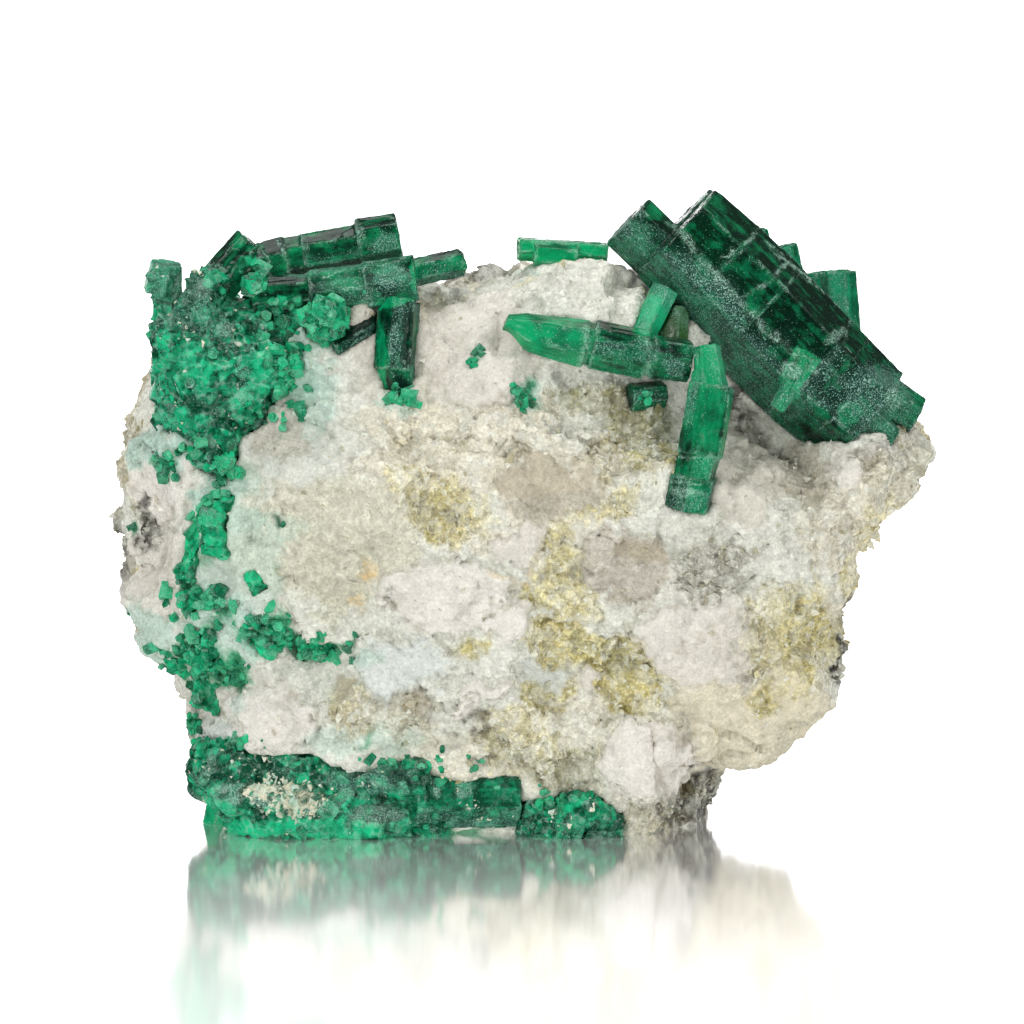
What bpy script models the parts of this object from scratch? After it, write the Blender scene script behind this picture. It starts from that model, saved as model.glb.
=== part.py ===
"""Emerald crystals grown on and in a block of calcite.

Metres, +Z up, at real size. The front of the specimen faces -Y and its flat foot lies on z = 0, with the
origin under the middle of its box. Every dimension below is in millimetres; MM turns it into metres.
"""

import math

import bmesh
import bpy
from mathutils import Matrix, Vector, noise
from mathutils.bvhtree import BVHTree

MM = 0.001
GAP = 0.3  # clearance between solids that grow against each other
PRISM_SIDES = 6

# ---------------------------------------------------------------- the rock
ROCK_CENTRE = Vector((0.0, 0.0, 31.0))
ROCK_FRONT = 24.5  # from the centre to the front face
ROCK_BACK = 25.5  # from the centre to the back face
ROCK_CUTS = (27, 9, 20)  # grid lines across the width, the depth and the height
RIM = 0.88  # how far out the front and back faces reach, as a part of the outline
RIM_SETBACK = 0.30  # how far the faces fall back at that rim, as a part of the half depth
FACE_POWER = 3.0
SIDE_POWER = 2.4
FOOT_DROP = 4.0  # the outline runs this far below the foot, which is then sawn flat

# The rock's outline as seen from the front (x, z), counter-clockwise from the right-hand corner.
OUTLINE = [
    (44.4, 43.0), (43.4, 45.2), (40.0, 46.0), (35.0, 48.0), (28.0, 53.0), (20.0, 58.5), (14.0, 61.0),
    (8.0, 62.3), (3.0, 61.8), (-1.0, 60.6), (-5.5, 59.8), (-12.0, 59.6), (-18.0, 60.0), (-25.0, 60.0),
    (-31.0, 58.5), (-36.0, 56.0), (-40.6, 51.5), (-43.0, 47.0), (-44.3, 43.0), (-44.8, 36.0),
    (-44.7, 29.0), (-44.6, 23.5), (-43.3, 19.9), (-40.0, 16.6), (-37.8, 13.5), (-37.2, 9.2),
    (-36.6, 5.0), (-35.4, 0.7), (-34.0, -FOOT_DROP), (19.0, -FOOT_DROP), (20.2, 2.5), (22.0, 4.8),
    (27.8, 7.4), (31.0, 10.4), (33.4, 14.0), (34.8, 17.2), (35.1, 21.6), (36.4, 24.5), (37.0, 28.7),
    (38.8, 32.8), (42.4, 37.5), (44.8, 41.2),
]

# Lumps, ledges and hollows: where, how wide, how abrupt (1 soft, 0.3 a ledge), and how far each pushes.
LUMPS = [
    ((-24.0, -25.0, 34.5), 15.0, 0.35, (0.0, -2.2, -0.6)),  # smooth dome left of the middle
    ((-23.0, -25.0, 22.0), 8.0, 0.5, (0.0, 2.4, 0.0)),  # hollow under the lip of the dome
    ((-30.0, -23.0, 14.0), 9.0, 0.5, (0.0, -1.8, 0.0)),  # white lump above the green band
    ((-9.5, -25.0, 27.5), 8.0, 0.35, (0.0, -1.8, 0.3)),  # smooth slab in the middle
    ((-2.2, -25.0, 23.5), 4.5, 0.5, (0.0, -2.2, 0.0)),  # white block
    ((6.0, -25.0, 17.5), 8.5, 0.6, (0.0, 2.2, 0.0)),  # granular hollow
    ((13.5, -24.0, 8.0), 7.5, 0.4, (0.0, -2.4, 0.0)),  # smooth oval lump
    ((19.5, -24.0, 22.0), 9.0, 0.5, (0.0, -1.6, 0.0)),  # white swell right of the middle
    ((8.0, -22.0, 49.0), 8.5, 0.6, (0.0, 3.2, 0.0)),  # hollow under the crossing crystal
    ((21.0, -21.0, 49.0), 9.5, 0.7, (0.0, 6.0, -1.0)),  # hollow under the large crystal
    ((29.0, -20.0, 44.5), 9.0, 0.7, (0.0, 6.0, -1.5)),
    ((36.0, -18.0, 39.0), 7.0, 0.5, (0.0, -2.5, 0.0)),  # white block under its lower end
    ((20.0, -24.0, 29.0), 6.0, 0.8, (0.0, 1.6, 0.0)),  # grey hollow
    ((-22.0, -17.0, 57.0), 11.0, 0.8, (0.0, -1.0, 2.2)),  # shoulder that carries the long crystals
    ((-17.0, -23.0, 53.0), 7.0, 0.6, (0.0, 2.4, 0.0)),  # hollow behind the hanging crystal
    ((4.0, -12.0, 61.0), 10.0, 0.6, (0.0, -2.0, 2.6)),  # swell under the tablet crystal
    ((-10.0, -13.0, 59.0), 6.0, 0.7, (0.0, 0.0, 0.8)),  # rim under the end crystal
    ((33.0, 8.0, 48.0), 12.0, 0.6, (0.0, 0.0, 3.0)),  # ridge that carries the rear crystals
    ((-43.0, -12.0, 33.0), 6.0, 0.5, (3.0, 1.0, 0.0)),  # pit in the left side
    ((-3.0, -19.0, -1.0), 6.0, 0.8, (0.0, 2.0, 2.6)),  # low arch at the foot
    ((20.0, -18.0, 4.0), 8.0, 0.5, (-1.5, 3.0, 0.0)),  # dark hollow at the lower right
    ((30.0, -18.0, 13.0), 7.0, 0.4, (1.2, -1.5, 0.0)),  # slab at the lower right edge
    ((-20.0, 26.0, 40.0), 14.0, 0.4, (0.0, 2.0, 0.0)),  # back: broad step
    ((14.0, 26.0, 24.0), 12.0, 0.4, (0.0, -3.5, 0.0)),  # back: hollow
    ((18.0, 24.0, 48.0), 11.0, 0.4, (0.0, 2.5, 0.0)),  # back: upper step
    ((-10.0, 24.0, 12.0), 10.0, 0.5, (0.0, 1.8, 0.0)),  # back: low swell
    ((10.0, 8.0, 62.0), 9.0, 0.5, (0.0, 0.0, -2.5)),  # top: hollow behind the tablet
    ((-14.0, 10.0, 60.0), 10.0, 0.5, (0.0, 0.0, -3.0)),  # top: worn back edge
    ((-40.0, 22.0, 46.0), 24.0, 0.9, (5.0, -6.0, -2.0)),  # back left: broken corner
    ((40.0, 24.0, 26.0), 22.0, 0.9, (-2.0, -6.0, 0.0)),  # back right: broken corner
    ((6.0, 28.0, 38.0), 20.0, 0.9, (0.0, 2.5, 0.0)),  # back: high middle
]
ROUGHNESS = [(16.0, 0.9), (6.0, 0.6)]  # size and height of the rock's unevenness
BLOCK_SIZE = 8.5  # the rock breaks into cleavage blocks about this wide
BLOCK_STEP = 1.3  # how far one block may stand above another
BLOCK_TILT = 0.22  # how much a block's face leans

ROCK_FINISH = ((0.84, 0.82, 0.77, 1.0), 0.55)
DARK_GREEN = ((0.0, 0.13, 0.07, 1.0), 0.25)
BRIGHT_GREEN = ((0.0, 0.30, 0.13, 1.0), 0.25)
OLIVE_GREEN = ((0.10, 0.22, 0.04, 1.0), 0.3)


# ---------------------------------------------------------------- tools
def clear_scene():
    for old in list(bpy.data.objects):
        bpy.data.objects.remove(old, do_unlink=True)


def make_collection(name):
    collection = bpy.data.collections.new(name)
    bpy.context.scene.collection.children.link(collection)
    return collection


def make_material(name, finish):
    colour, roughness = finish
    material = bpy.data.materials.new(name)
    material.use_nodes = True
    shader = material.node_tree.nodes["Principled BSDF"]
    shader.inputs["Base Color"].default_value = colour
    shader.inputs["Roughness"].default_value = roughness
    shader.inputs["Metallic"].default_value = 0.0
    material.diffuse_color = colour
    return material


def make_object(name, bm, collection):
    """Turn a bmesh in millimetres into an object in metres."""
    bmesh.ops.scale(bm, vec=(MM, MM, MM), verts=bm.verts)
    bmesh.ops.recalc_face_normals(bm, faces=bm.faces)
    mesh = bpy.data.meshes.new(name)
    bm.to_mesh(mesh)
    bm.free()
    thing = bpy.data.objects.new(name, mesh)
    collection.objects.link(thing)
    return thing


def combine(target, tool, operation):
    """Apply one exact Boolean to the target and drop the tool."""
    step = target.modifiers.new(operation.title(), "BOOLEAN")
    step.operation = operation
    step.solver = "EXACT"
    step.object = tool
    graph = bpy.context.evaluated_depsgraph_get()
    result = bpy.data.meshes.new_from_object(target.evaluated_get(graph))
    target.modifiers.remove(step)
    old = target.data
    target.data = result
    bpy.data.meshes.remove(old)
    bpy.data.objects.remove(tool, do_unlink=True)


def box_of(thing):
    corners = [Vector(corner) for corner in thing.bound_box]
    low = Vector([min(corner[axis] for corner in corners) for axis in range(3)])
    high = Vector([max(corner[axis] for corner in corners) for axis in range(3)])
    return low, high


def boxes_meet(first, second):
    low_a, high_a = box_of(first)
    low_b, high_b = box_of(second)
    return all(low_a[axis] <= high_b[axis] and low_b[axis] <= high_a[axis] for axis in range(3))


# ---------------------------------------------------------------- shapes
def prism(start, end, radius, roll=0.0, flat=1.0, tip=1.0, slant=0.0, grow=0.0):
    """A six-sided crystal from start to end.

    roll turns it about its axis: at 0 a flat face looks to the front, at 30 an edge does. flat scales it
    in depth, tip is the end's width as a part of the start's, and slant tips the end face.
    """
    start = Vector(start)
    end = Vector(end)
    axis = (end - start).normalized()
    start = start - axis * grow
    end = end + axis * grow
    length = (end - start).length
    spread = radius + grow / math.cos(math.pi / PRISM_SIDES)
    bm = bmesh.new()
    bmesh.ops.create_cone(bm, cap_ends=True, segments=PRISM_SIDES, radius1=spread, radius2=spread * tip, depth=length)
    for vert in bm.verts:
        if vert.co.z > 0:
            vert.co.z += slant * vert.co.x
    bmesh.ops.rotate(bm, verts=bm.verts, matrix=Matrix.Rotation(math.radians(roll), 3, "Z"))
    bmesh.ops.scale(bm, vec=(flat, 1.0, 1.0), verts=bm.verts)
    toward_front = Vector((0.0, -1.0, 0.0))
    if abs(axis.dot(toward_front)) > 0.95:
        toward_front = Vector((0.0, 0.0, 1.0))
    across = toward_front.cross(axis).normalized()
    facing = axis.cross(across).normalized()
    frame = Matrix((facing, across, axis)).transposed().to_4x4()
    frame.translation = (start + end) / 2
    bmesh.ops.transform(bm, matrix=frame, verts=bm.verts)
    return bm


def nugget(centre, radii, seed, rough=0.9, detail=3, grow=0.0):
    """A rough granular lump: a sphere stretched to its radii, made boxier and uneven."""
    bm = bmesh.new()
    bmesh.ops.create_icosphere(bm, subdivisions=detail, radius=1.0)
    shift = Vector((seed * 7.3, seed * 3.1, seed * 5.7))
    for vert in bm.verts:
        ray = vert.co.normalized()
        boxy = (abs(ray.x) ** 3 + abs(ray.y) ** 3 + abs(ray.z) ** 3) ** (-1 / 3)
        place = Vector([ray[axis] * boxy * (radii[axis] + grow) for axis in range(3)])
        bump = noise.fractal(place / 3.5 + shift, 0.8, 2.2, 2)
        vert.co = Vector(centre) + place + ray * bump * rough
    return bm


def outline_reach(angle):
    """How far the rock's outline lies from its centre in one direction of the front view."""
    ray = Vector((math.cos(angle), math.sin(angle)))
    corners = [Vector((x - ROCK_CENTRE.x, z - ROCK_CENTRE.z)) for x, z in OUTLINE]
    for here, there in zip(corners, corners[1:] + corners[:1]):
        side = there - here
        turn = ray.x * side.y - ray.y * side.x
        if abs(turn) < 1e-9:
            continue
        reach = (here.x * side.y - here.y * side.x) / turn
        along = (here.x * ray.y - here.y * ray.x) / turn
        if reach > 0 and 0 <= along <= 1:
            return reach
    return 30.0


def rock_point(grid):
    """Map a point of the unit cube's surface to the rock."""
    ring = max(abs(grid.x), abs(grid.z))
    angle = math.atan2(grid.z, grid.x)
    reach = outline_reach(angle)
    half = ROCK_FRONT if grid.y < 0 else ROCK_BACK
    if abs(grid.y) > 0.999:
        out = reach * RIM * ring
        y = math.copysign(half * (1 - RIM_SETBACK * ring ** FACE_POWER), grid.y)
    else:
        out = reach * (1 - (1 - RIM) * abs(grid.y) ** SIDE_POWER)
        y = grid.y * half * (1 - RIM_SETBACK)
    return ROCK_CENTRE + Vector((math.cos(angle) * out, y, math.sin(angle) * out))


def push_lumps(place):
    moved = place.copy()
    for centre, radius, softness, push in LUMPS:
        near = 1 - (place - Vector(centre)).length / radius
        if near > 0:
            weight = min(near / softness, 1.0)
            moved += Vector(push) * weight * weight * (3 - 2 * weight)
    return moved


def block_height(place):
    """Height of the cleavage block that a place of the surface belongs to."""
    seed = noise.voronoi(place / BLOCK_SIZE)[1][0]
    lean = noise.cell_vector(seed * 13.7)
    offset = (place / BLOCK_SIZE - seed).dot(lean) * BLOCK_SIZE * BLOCK_TILT
    return noise.cell(seed * 29.3) * BLOCK_STEP / 2 + offset


def rock():
    """The block of calcite before its foot is sawn flat and its crystals are let in."""
    bm = bmesh.new()
    bmesh.ops.create_cube(bm, size=2.0)
    for axis, cuts in enumerate(ROCK_CUTS):
        along = [e for e in bm.edges if abs((e.verts[0].co - e.verts[1].co)[axis]) > 0.5]
        bmesh.ops.subdivide_edges(bm, edges=along, cuts=cuts, use_grid_fill=True)
    for vert in bm.verts:
        vert.co = push_lumps(rock_point(vert.co))
    bmesh.ops.recalc_face_normals(bm, faces=bm.faces)
    bm.normal_update()
    moves = []
    for vert in bm.verts:
        height = sum(noise.fractal(vert.co / size, 0.9, 2.0, 2) * bump for size, bump in ROUGHNESS)
        moves.append(vert.normal * (height + block_height(vert.co)))
    for vert, move in zip(bm.verts, moves):
        vert.co += move
    return bm


# ---------------------------------------------------------------- the crystals
def large_emerald(grow):
    return [
        prism((16.2, -12.0, 66.4), (21.5, -12.0, 61.3), 6.4, 8, grow=grow),
        prism((20.6, -12.2, 62.2), (25.0, -12.2, 57.6), 6.9, 8, grow=grow),
        prism((24.0, -12.0, 58.6), (32.6, -12.0, 49.6), 7.5, 8, grow=grow),
        prism((31.1, -11.6, 51.3), (37.0, -11.0, 45.7), 6.9, 12, grow=grow),
        prism((17.4, -7.0, 68.0), (29.4, -7.0, 56.2), 4.2, 20, grow=grow),
        prism((10.9, -9.5, 67.4), (19.4, -9.5, 59.2), 3.5, 8, grow=grow),
        prism((30.5, -17.6, 53.0), (27.2, -18.2, 47.2), 1.2, 10, tip=0.8, grow=grow),
        prism((34.0, -13.5, 47.0), (39.6, -13.0, 42.8), 3.2, 25, tip=0.8, grow=grow),
        prism((36.0, -9.5, 49.6), (42.8, -9.0, 45.4), 3.2, 5, tip=0.8, grow=grow),
    ]


def rear_emerald_1(grow):
    return [prism((28.2, 3.0, 52.5), (25.0, 2.0, 65.5), 1.9, 20, grow=grow)]


def rear_emerald_2(grow):
    return [prism((31.6, 4.5, 50.0), (28.5, 3.6, 63.8), 1.7, 0, grow=grow)]


def rear_emerald_3(grow):
    return [prism((34.2, 4.0, 48.0), (31.9, 5.0, 60.7), 1.6, 15, grow=grow)]


def rear_emerald_4(grow):
    return [prism((36.0, 0.0, 44.5), (34.6, 0.8, 61.1), 2.1, 10, slant=0.15, grow=grow)]


def short_emerald(grow):
    return [prism((-35.2, -12.0, 59.6), (-30.4, -12.0, 65.0), 2.5, 15, grow=grow)]


def upper_long_emerald(grow):
    return [
        prism((-29.8, -12.5, 62.6), (-26.6, -12.5, 63.4), 2.6, -5, grow=grow),
        prism((-27.2, -12.4, 63.3), (-24.2, -12.4, 63.8), 2.4, 2, grow=grow),
        prism((-24.8, -12.5, 63.7), (-18.0, -12.5, 64.9), 2.5, 2, grow=grow),
        prism((-18.8, -12.5, 64.9), (-14.3, -12.3, 65.7), 3.0, 8, tip=0.95, grow=grow),
    ]


def lower_long_emerald(grow):
    return [
        prism((-30.4, -16.6, 59.6), (-23.4, -16.8, 60.2), 2.0, 5, grow=grow),
        prism((-24.0, -17.0, 60.2), (-17.2, -17.2, 61.0), 2.5, 28, grow=grow),
        prism((-18.0, -17.4, 60.9), (-12.4, -17.4, 61.7), 2.9, 32, grow=grow),
    ]


def end_emerald(grow):
    return [prism((-14.6, -12.6, 61.4), (-7.4, -12.0, 63.0), 1.6, 5, slant=0.3, grow=grow)]


def hanging_emerald(grow):
    return [
        prism((-14.2, -18.4, 59.4), (-14.8, -19.6, 51.6), 2.4, 14, grow=grow),
        prism((-14.7, -19.5, 52.6), (-13.7, -19.8, 47.4), 2.3, 14, tip=0.7, grow=grow),
    ]


def slim_dark_emerald(grow):
    return [prism((-15.6, -17.6, 57.4), (-21.4, -19.4, 54.0), 1.1, 20, grow=grow)]


def rough_green_emerald(grow):
    return [nugget((-22.4, -18.4, 56.8), (2.6, 3.0, 2.3), 5, 0.7, 2, grow)]


def left_emerald_mass(grow):
    return [
        nugget((-33.4, -9.5, 50.1), (7.9, 12.4, 8.5), 1, 1.2, 3, grow),
        nugget((-34.0, -18.0, 44.4), (2.7, 4.2, 4.4), 2, 0.7, 2, grow),
        nugget((-29.3, -18.6, 51.6), (3.4, 4.2, 3.2), 3, 0.8, 2, grow),
        prism((-39.2, -13.0, 52.0), (-40.0, -14.0, 60.8), 1.8, 10, grow=grow),
        prism((-40.4, -13.8, 59.8), (-39.9, -14.4, 63.1), 2.4, 20, tip=0.8, grow=grow),
        prism((-37.4, -18.2, 53.4), (-35.2, -16.6, 62.0), 2.8, 15, tip=0.85, grow=grow),
    ]


def tablet_emerald(grow):
    return [
        prism((-1.2, -8.0, 64.2), (8.6, -7.0, 63.5), 1.4, 25, flat=1.6, grow=grow),
        prism((0.6, -9.0, 63.6), (5.4, -9.0, 63.2), 1.6, 8, flat=1.3, grow=grow),
    ]


def crossing_emerald(grow):
    return [
        prism((-2.6, -20.8, 56.4), (6.2, -20.6, 54.6), 1.9, 10, tip=1.45, grow=grow),
        prism((5.6, -20.6, 54.8), (7.8, -20.6, 54.4), 2.4, 10, grow=grow),
        prism((7.0, -20.6, 54.6), (12.8, -20.5, 53.4), 2.8, 15, grow=grow),
        prism((12.2, -20.5, 53.5), (14.2, -20.4, 53.1), 2.3, 15, grow=grow),
        prism((13.4, -20.4, 53.2), (17.6, -19.8, 52.6), 2.6, 22, tip=0.95, grow=grow),
    ]


def upright_emerald(grow):
    return [prism((12.0, -17.8, 54.4), (15.0, -16.2, 60.4), 1.6, 20, grow=grow)]


def olive_emerald(grow):
    return [prism((15.6, -16.2, 53.4), (15.9, -15.0, 58.2), 1.9, 10, grow=grow)]


def bent_emerald(grow):
    return [
        prism((19.2, -21.2, 54.4), (19.9, -22.2, 49.4), 1.7, 12, tip=1.25, grow=grow),
        prism((20.0, -22.2, 50.2), (18.7, -23.0, 42.6), 2.7, 18, grow=grow),
        prism((18.8, -22.9, 43.0), (17.9, -23.0, 39.8), 2.4, 15, grow=grow),
        prism((18.0, -22.8, 40.3), (17.2, -22.6, 36.6), 2.8, 20, tip=0.95, grow=grow),
    ]


def embedded_emerald(grow):
    return [prism((11.0, -19.4, 48.6), (14.8, -18.0, 48.9), 1.6, 10, grow=grow)]


def lower_emerald_band(grow):
    return [
        nugget((-27.6, -11.5, 6.6), (9.6, 10.6, 4.8), 7, 1.0, 3, grow),
        nugget((-21.0, -15.0, 2.0), (12.5, 7.0, 6.2), 8, 0.9, 2, grow),
        prism((-23.6, -19.4, 6.6), (-11.0, -19.8, 6.2), 2.9, 25, grow=grow),
        prism((-12.6, -18.6, 4.6), (-1.2, -17.2, 4.4), 3.7, 12, grow=grow),
        prism((-33.0, -13.0, 1.2), (-14.2, -20.0, 1.0), 2.0, 0, grow=grow),
    ]


def corner_emerald(grow):
    return [prism((-33.6, -6.4, 6.0), (-35.0, -7.4, -1.0), 1.7, 20, grow=grow)]


def lower_right_emerald(grow):
    return [nugget((4.6, -16.4, 1.6), (6.0, 4.8, 3.6), 9, 0.6, 3, grow)]


# Green crystals set in the left of the front face: x, z, lean to the right in degrees, length, radius.
SIDE_EMERALDS = [
    (-33.9, 34.6, 8.0, 6.2, 2.1),
    (-36.6, 31.9, 25.0, 6.8, 1.4),
    (-29.7, 28.8, -30.0, 2.6, 1.3),
    (-36.6, 26.2, 60.0, 3.2, 1.5),
    (-28.4, 22.8, 35.0, 4.0, 2.0),
    (-23.0, 21.2, 75.0, 4.8, 1.4),
    (-35.8, 21.0, -20.0, 3.8, 1.8),
    (-38.7, 18.8, -35.0, 3.8, 1.3),
    (-35.1, 15.8, 10.0, 4.6, 1.8),
]
SIDE_SINK = 0.35  # how deep their axes lie in the rock, as a part of the radius


def side_emerald(x, z, lean, length, radius, rock_surface, grow):
    """A short crystal half sunk in the front face of the rock."""
    hit = rock_surface.ray_cast(Vector((x, -60.0, z)) * MM, Vector((0.0, 1.0, 0.0)))[0]
    middle = Vector((x, hit.y / MM + radius * SIDE_SINK, z))
    tilt = math.radians(lean)
    half = Vector((math.sin(tilt), 0.0, math.cos(tilt))) * length / 2
    return [prism(middle - half, middle + half, radius, lean, tip=0.9, grow=grow)]


# In this order: a crystal is let into every later one that it touches, and all are let into the rock.
CRYSTALS = [
    (large_emerald, "dark_emerald"),
    (crossing_emerald, "dark_emerald"),
    (bent_emerald, "dark_emerald"),
    (upright_emerald, "bright_emerald"),
    (olive_emerald, "olive_emerald_green"),
    (embedded_emerald, "dark_emerald"),
    (rear_emerald_4, "dark_emerald"),
    (rear_emerald_2, "dark_emerald"),
    (rear_emerald_1, "bright_emerald"),
    (rear_emerald_3, "bright_emerald"),
    (upper_long_emerald, "dark_emerald"),
    (lower_long_emerald, "dark_emerald"),
    (end_emerald, "dark_emerald"),
    (hanging_emerald, "dark_emerald"),
    (slim_dark_emerald, "dark_emerald"),
    (short_emerald, "bright_emerald"),
    (left_emerald_mass, "bright_emerald"),
    (rough_green_emerald, "bright_emerald"),
    (tablet_emerald, "bright_emerald"),
    (lower_emerald_band, "dark_emerald"),
    (corner_emerald, "bright_emerald"),
    (lower_right_emerald, "dark_emerald"),
]


def fused(name, shapes, collection):
    """Join shapes that grew together into one solid."""
    whole = make_object(name, shapes[0], collection)
    for shape in shapes[1:]:
        combine(whole, make_object(name + "_piece", shape, collection), "UNION")
    return whole


def floor_block(collection):
    """Everything below the foot, as a box to saw with."""
    bm = bmesh.new()
    bmesh.ops.create_cube(bm, size=200.0)
    bmesh.ops.translate(bm, vec=(0.0, 0.0, -100.0), verts=bm.verts)
    return make_object("floor_block", bm, collection)


def reaches_floor(thing):
    return box_of(thing)[0].z < 0


def build():
    clear_scene()
    parts = make_collection("emerald_in_matrix")
    materials = {
        "calcite": make_material("calcite", ROCK_FINISH),
        "dark_emerald": make_material("dark_emerald", DARK_GREEN),
        "bright_emerald": make_material("bright_emerald", BRIGHT_GREEN),
        "olive_emerald_green": make_material("olive_emerald_green", OLIVE_GREEN),
    }
    matrix = make_object("calcite_matrix", rock(), parts)
    matrix.data.materials.append(materials["calcite"])
    combine(matrix, floor_block(parts), "DIFFERENCE")
    surface = BVHTree.FromObject(matrix, bpy.context.evaluated_depsgraph_get())

    makers = [(maker.__name__, maker, slot) for maker, slot in CRYSTALS]
    for number, place in enumerate(SIDE_EMERALDS, start=1):
        def sunk(grow, place=place):
            return side_emerald(*place, surface, grow)
        makers.append((f"side_emerald_{number}", sunk, "bright_emerald"))

    done = []
    for name, maker, slot in makers:
        crystal = fused(name, maker(0.0), parts)
        for earlier, earlier_maker in done:
            if boxes_meet(crystal, earlier):
                combine(crystal, fused(earlier.name + "_bed", earlier_maker(GAP), parts), "DIFFERENCE")
        if reaches_floor(crystal):
            combine(crystal, floor_block(parts), "DIFFERENCE")
        crystal.data.materials.clear()
        crystal.data.materials.append(materials[slot])
        done.append((crystal, maker))
        combine(matrix, fused(name + "_bed", maker(GAP), parts), "DIFFERENCE")
    return parts


build()
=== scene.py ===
"""Looks of the emerald specimen: calcite rock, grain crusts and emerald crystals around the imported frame."""

import itertools
import math

import bmesh
import bpy
import numpy as np
from mathutils import Matrix, Vector
from mathutils.bvhtree import BVHTree


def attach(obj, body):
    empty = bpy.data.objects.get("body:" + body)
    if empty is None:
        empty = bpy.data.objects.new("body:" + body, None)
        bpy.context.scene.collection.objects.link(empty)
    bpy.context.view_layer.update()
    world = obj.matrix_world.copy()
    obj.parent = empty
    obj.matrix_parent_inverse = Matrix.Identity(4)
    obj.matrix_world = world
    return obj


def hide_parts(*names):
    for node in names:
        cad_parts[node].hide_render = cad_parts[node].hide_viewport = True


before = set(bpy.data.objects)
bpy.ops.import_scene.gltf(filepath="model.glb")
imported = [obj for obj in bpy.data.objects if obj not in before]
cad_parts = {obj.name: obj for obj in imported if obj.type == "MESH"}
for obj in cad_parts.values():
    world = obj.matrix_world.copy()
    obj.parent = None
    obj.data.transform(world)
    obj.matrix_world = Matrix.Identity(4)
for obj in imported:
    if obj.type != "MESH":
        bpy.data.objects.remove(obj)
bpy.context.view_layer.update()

MM = 0.001
MM_PER_PIXEL = 0.11
PIXEL_X0 = 529  # picture column of x = 0
PIXEL_Z0 = 840  # picture row of z = 0 at the front of the foot
FRONT_Y = -22.0  # the front of the foot, in millimetres
CAMERA_RISE = math.radians(5.5)
FLOOR_GAP = 0.02  # millimetres between the table and the lowest crystals and grains

# ================================================================ noise
SEED = 2026
NOISE_GAIN = 1.6  # brings gradient noise to about -1 to 1
OCTAVE_STEP = 2.03  # how much finer each layer of fractal noise is
OCTAVE_SHIFT = 17.3
FAR_AWAY = 9.0
_random = np.random.default_rng(SEED)
_order = _random.permutation(256)
_turns = _random.normal(size=(256, 3))
_turns /= np.linalg.norm(_turns, axis=1, keepdims=True)
_values = _random.random((256, 4))


def hash_cells(cell):
    """A number from 0 to 255 for each integer cell."""
    first = _order[cell[:, 0] & 255]
    second = _order[(first + cell[:, 1]) & 255]
    return _order[(second + cell[:, 2]) & 255]


def smooth_noise(points):
    """Gradient noise, about -1 to 1."""
    cell = np.floor(points).astype(int)
    inside = points - cell
    fade = inside ** 3 * (inside * (inside * 6 - 15) + 10)
    total = np.zeros(len(points))
    for corner in itertools.product((0, 1), repeat=3):
        corner = np.array(corner)
        slope = _turns[hash_cells(cell + corner)]
        weight = np.where(corner, fade, 1 - fade).prod(1)
        total += ((inside - corner) * slope).sum(1) * weight
    return total * NOISE_GAIN


def fractal(points, size, octaves=3, shift=0.0):
    """Layered noise whose largest swells are size wide."""
    total = np.zeros(len(points))
    for octave in range(octaves):
        place = points * (OCTAVE_STEP ** octave / size) + shift + octave * OCTAVE_SHIFT
        total += smooth_noise(place) * 0.5 ** octave
    return total


def swirl(points, size, octaves, shifts):
    """A vector of noise at each place: one layer of noise for each axis."""
    return np.stack([fractal(points, size, octaves, shift) for shift in shifts], 1)


def cell_noise(points, size, shift=0):
    """Scattered seeds: distances to the nearest two, and the nearest's four values and the way from it.

    Distances are in seed spacings.
    """
    scaled = points / size
    base = np.floor(scaled).astype(int)
    first = np.full(len(points), FAR_AWAY)
    second = np.full(len(points), FAR_AWAY)
    nearest = np.zeros(len(points), int)
    lean = np.zeros((len(points), 3))
    for step in itertools.product((-1, 0, 1), repeat=3):
        cell = base + np.array(step)
        code = hash_cells(cell + shift)
        seed = cell + 0.1 + 0.8 * _values[code][:, :3]
        away = scaled - seed
        distance = np.linalg.norm(away, axis=1)
        closer = distance < first
        second = np.where(closer, first, np.minimum(second, distance))
        nearest = np.where(closer, code, nearest)
        lean = np.where(closer[:, None], away, lean)
        first = np.where(closer, distance, first)
    return first, second, _values[(nearest + 91) & 255], lean


def smoothstep(low, high, value):
    """0 up to low, 1 from high on, and a smooth rise between them. With high below low it falls."""
    part = np.clip((value - low) / (high - low), 0, 1)
    return part * part * (3 - 2 * part)


# ================================================================ meshes
def mesh_points(mesh):
    """Vertex places in millimetres."""
    flat = np.empty(len(mesh.vertices) * 3)
    mesh.vertices.foreach_get("co", flat)
    return flat.reshape(-1, 3) / MM


def mesh_normals(mesh):
    """Vertex normals."""
    flat = np.empty(len(mesh.vertices) * 3)
    mesh.vertices.foreach_get("normal", flat)
    return flat.reshape(-1, 3)


def set_points(mesh, points):
    mesh.vertices.foreach_set("co", (points * MM).ravel())
    mesh.update()


def add_value(mesh, name, values):
    """Store one number per vertex for the material to read."""
    layer = mesh.attributes.new(name, "FLOAT", "POINT")
    layer.data.foreach_set("value", values.astype(np.float32))


def add_colour(mesh, name, colours):
    """Store one colour per vertex for the material to read."""
    layer = mesh.attributes.new(name, "FLOAT_COLOR", "POINT")
    full = np.ones((len(colours), 4), np.float32)
    full[:, :3] = colours
    layer.data.foreach_set("color", full.ravel())


def add_vector(mesh, name, vectors):
    """Store one vector per vertex for the material to read."""
    layer = mesh.attributes.new(name, "FLOAT_VECTOR", "POINT")
    layer.data.foreach_set("vector", vectors.astype(np.float32).ravel())


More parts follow.
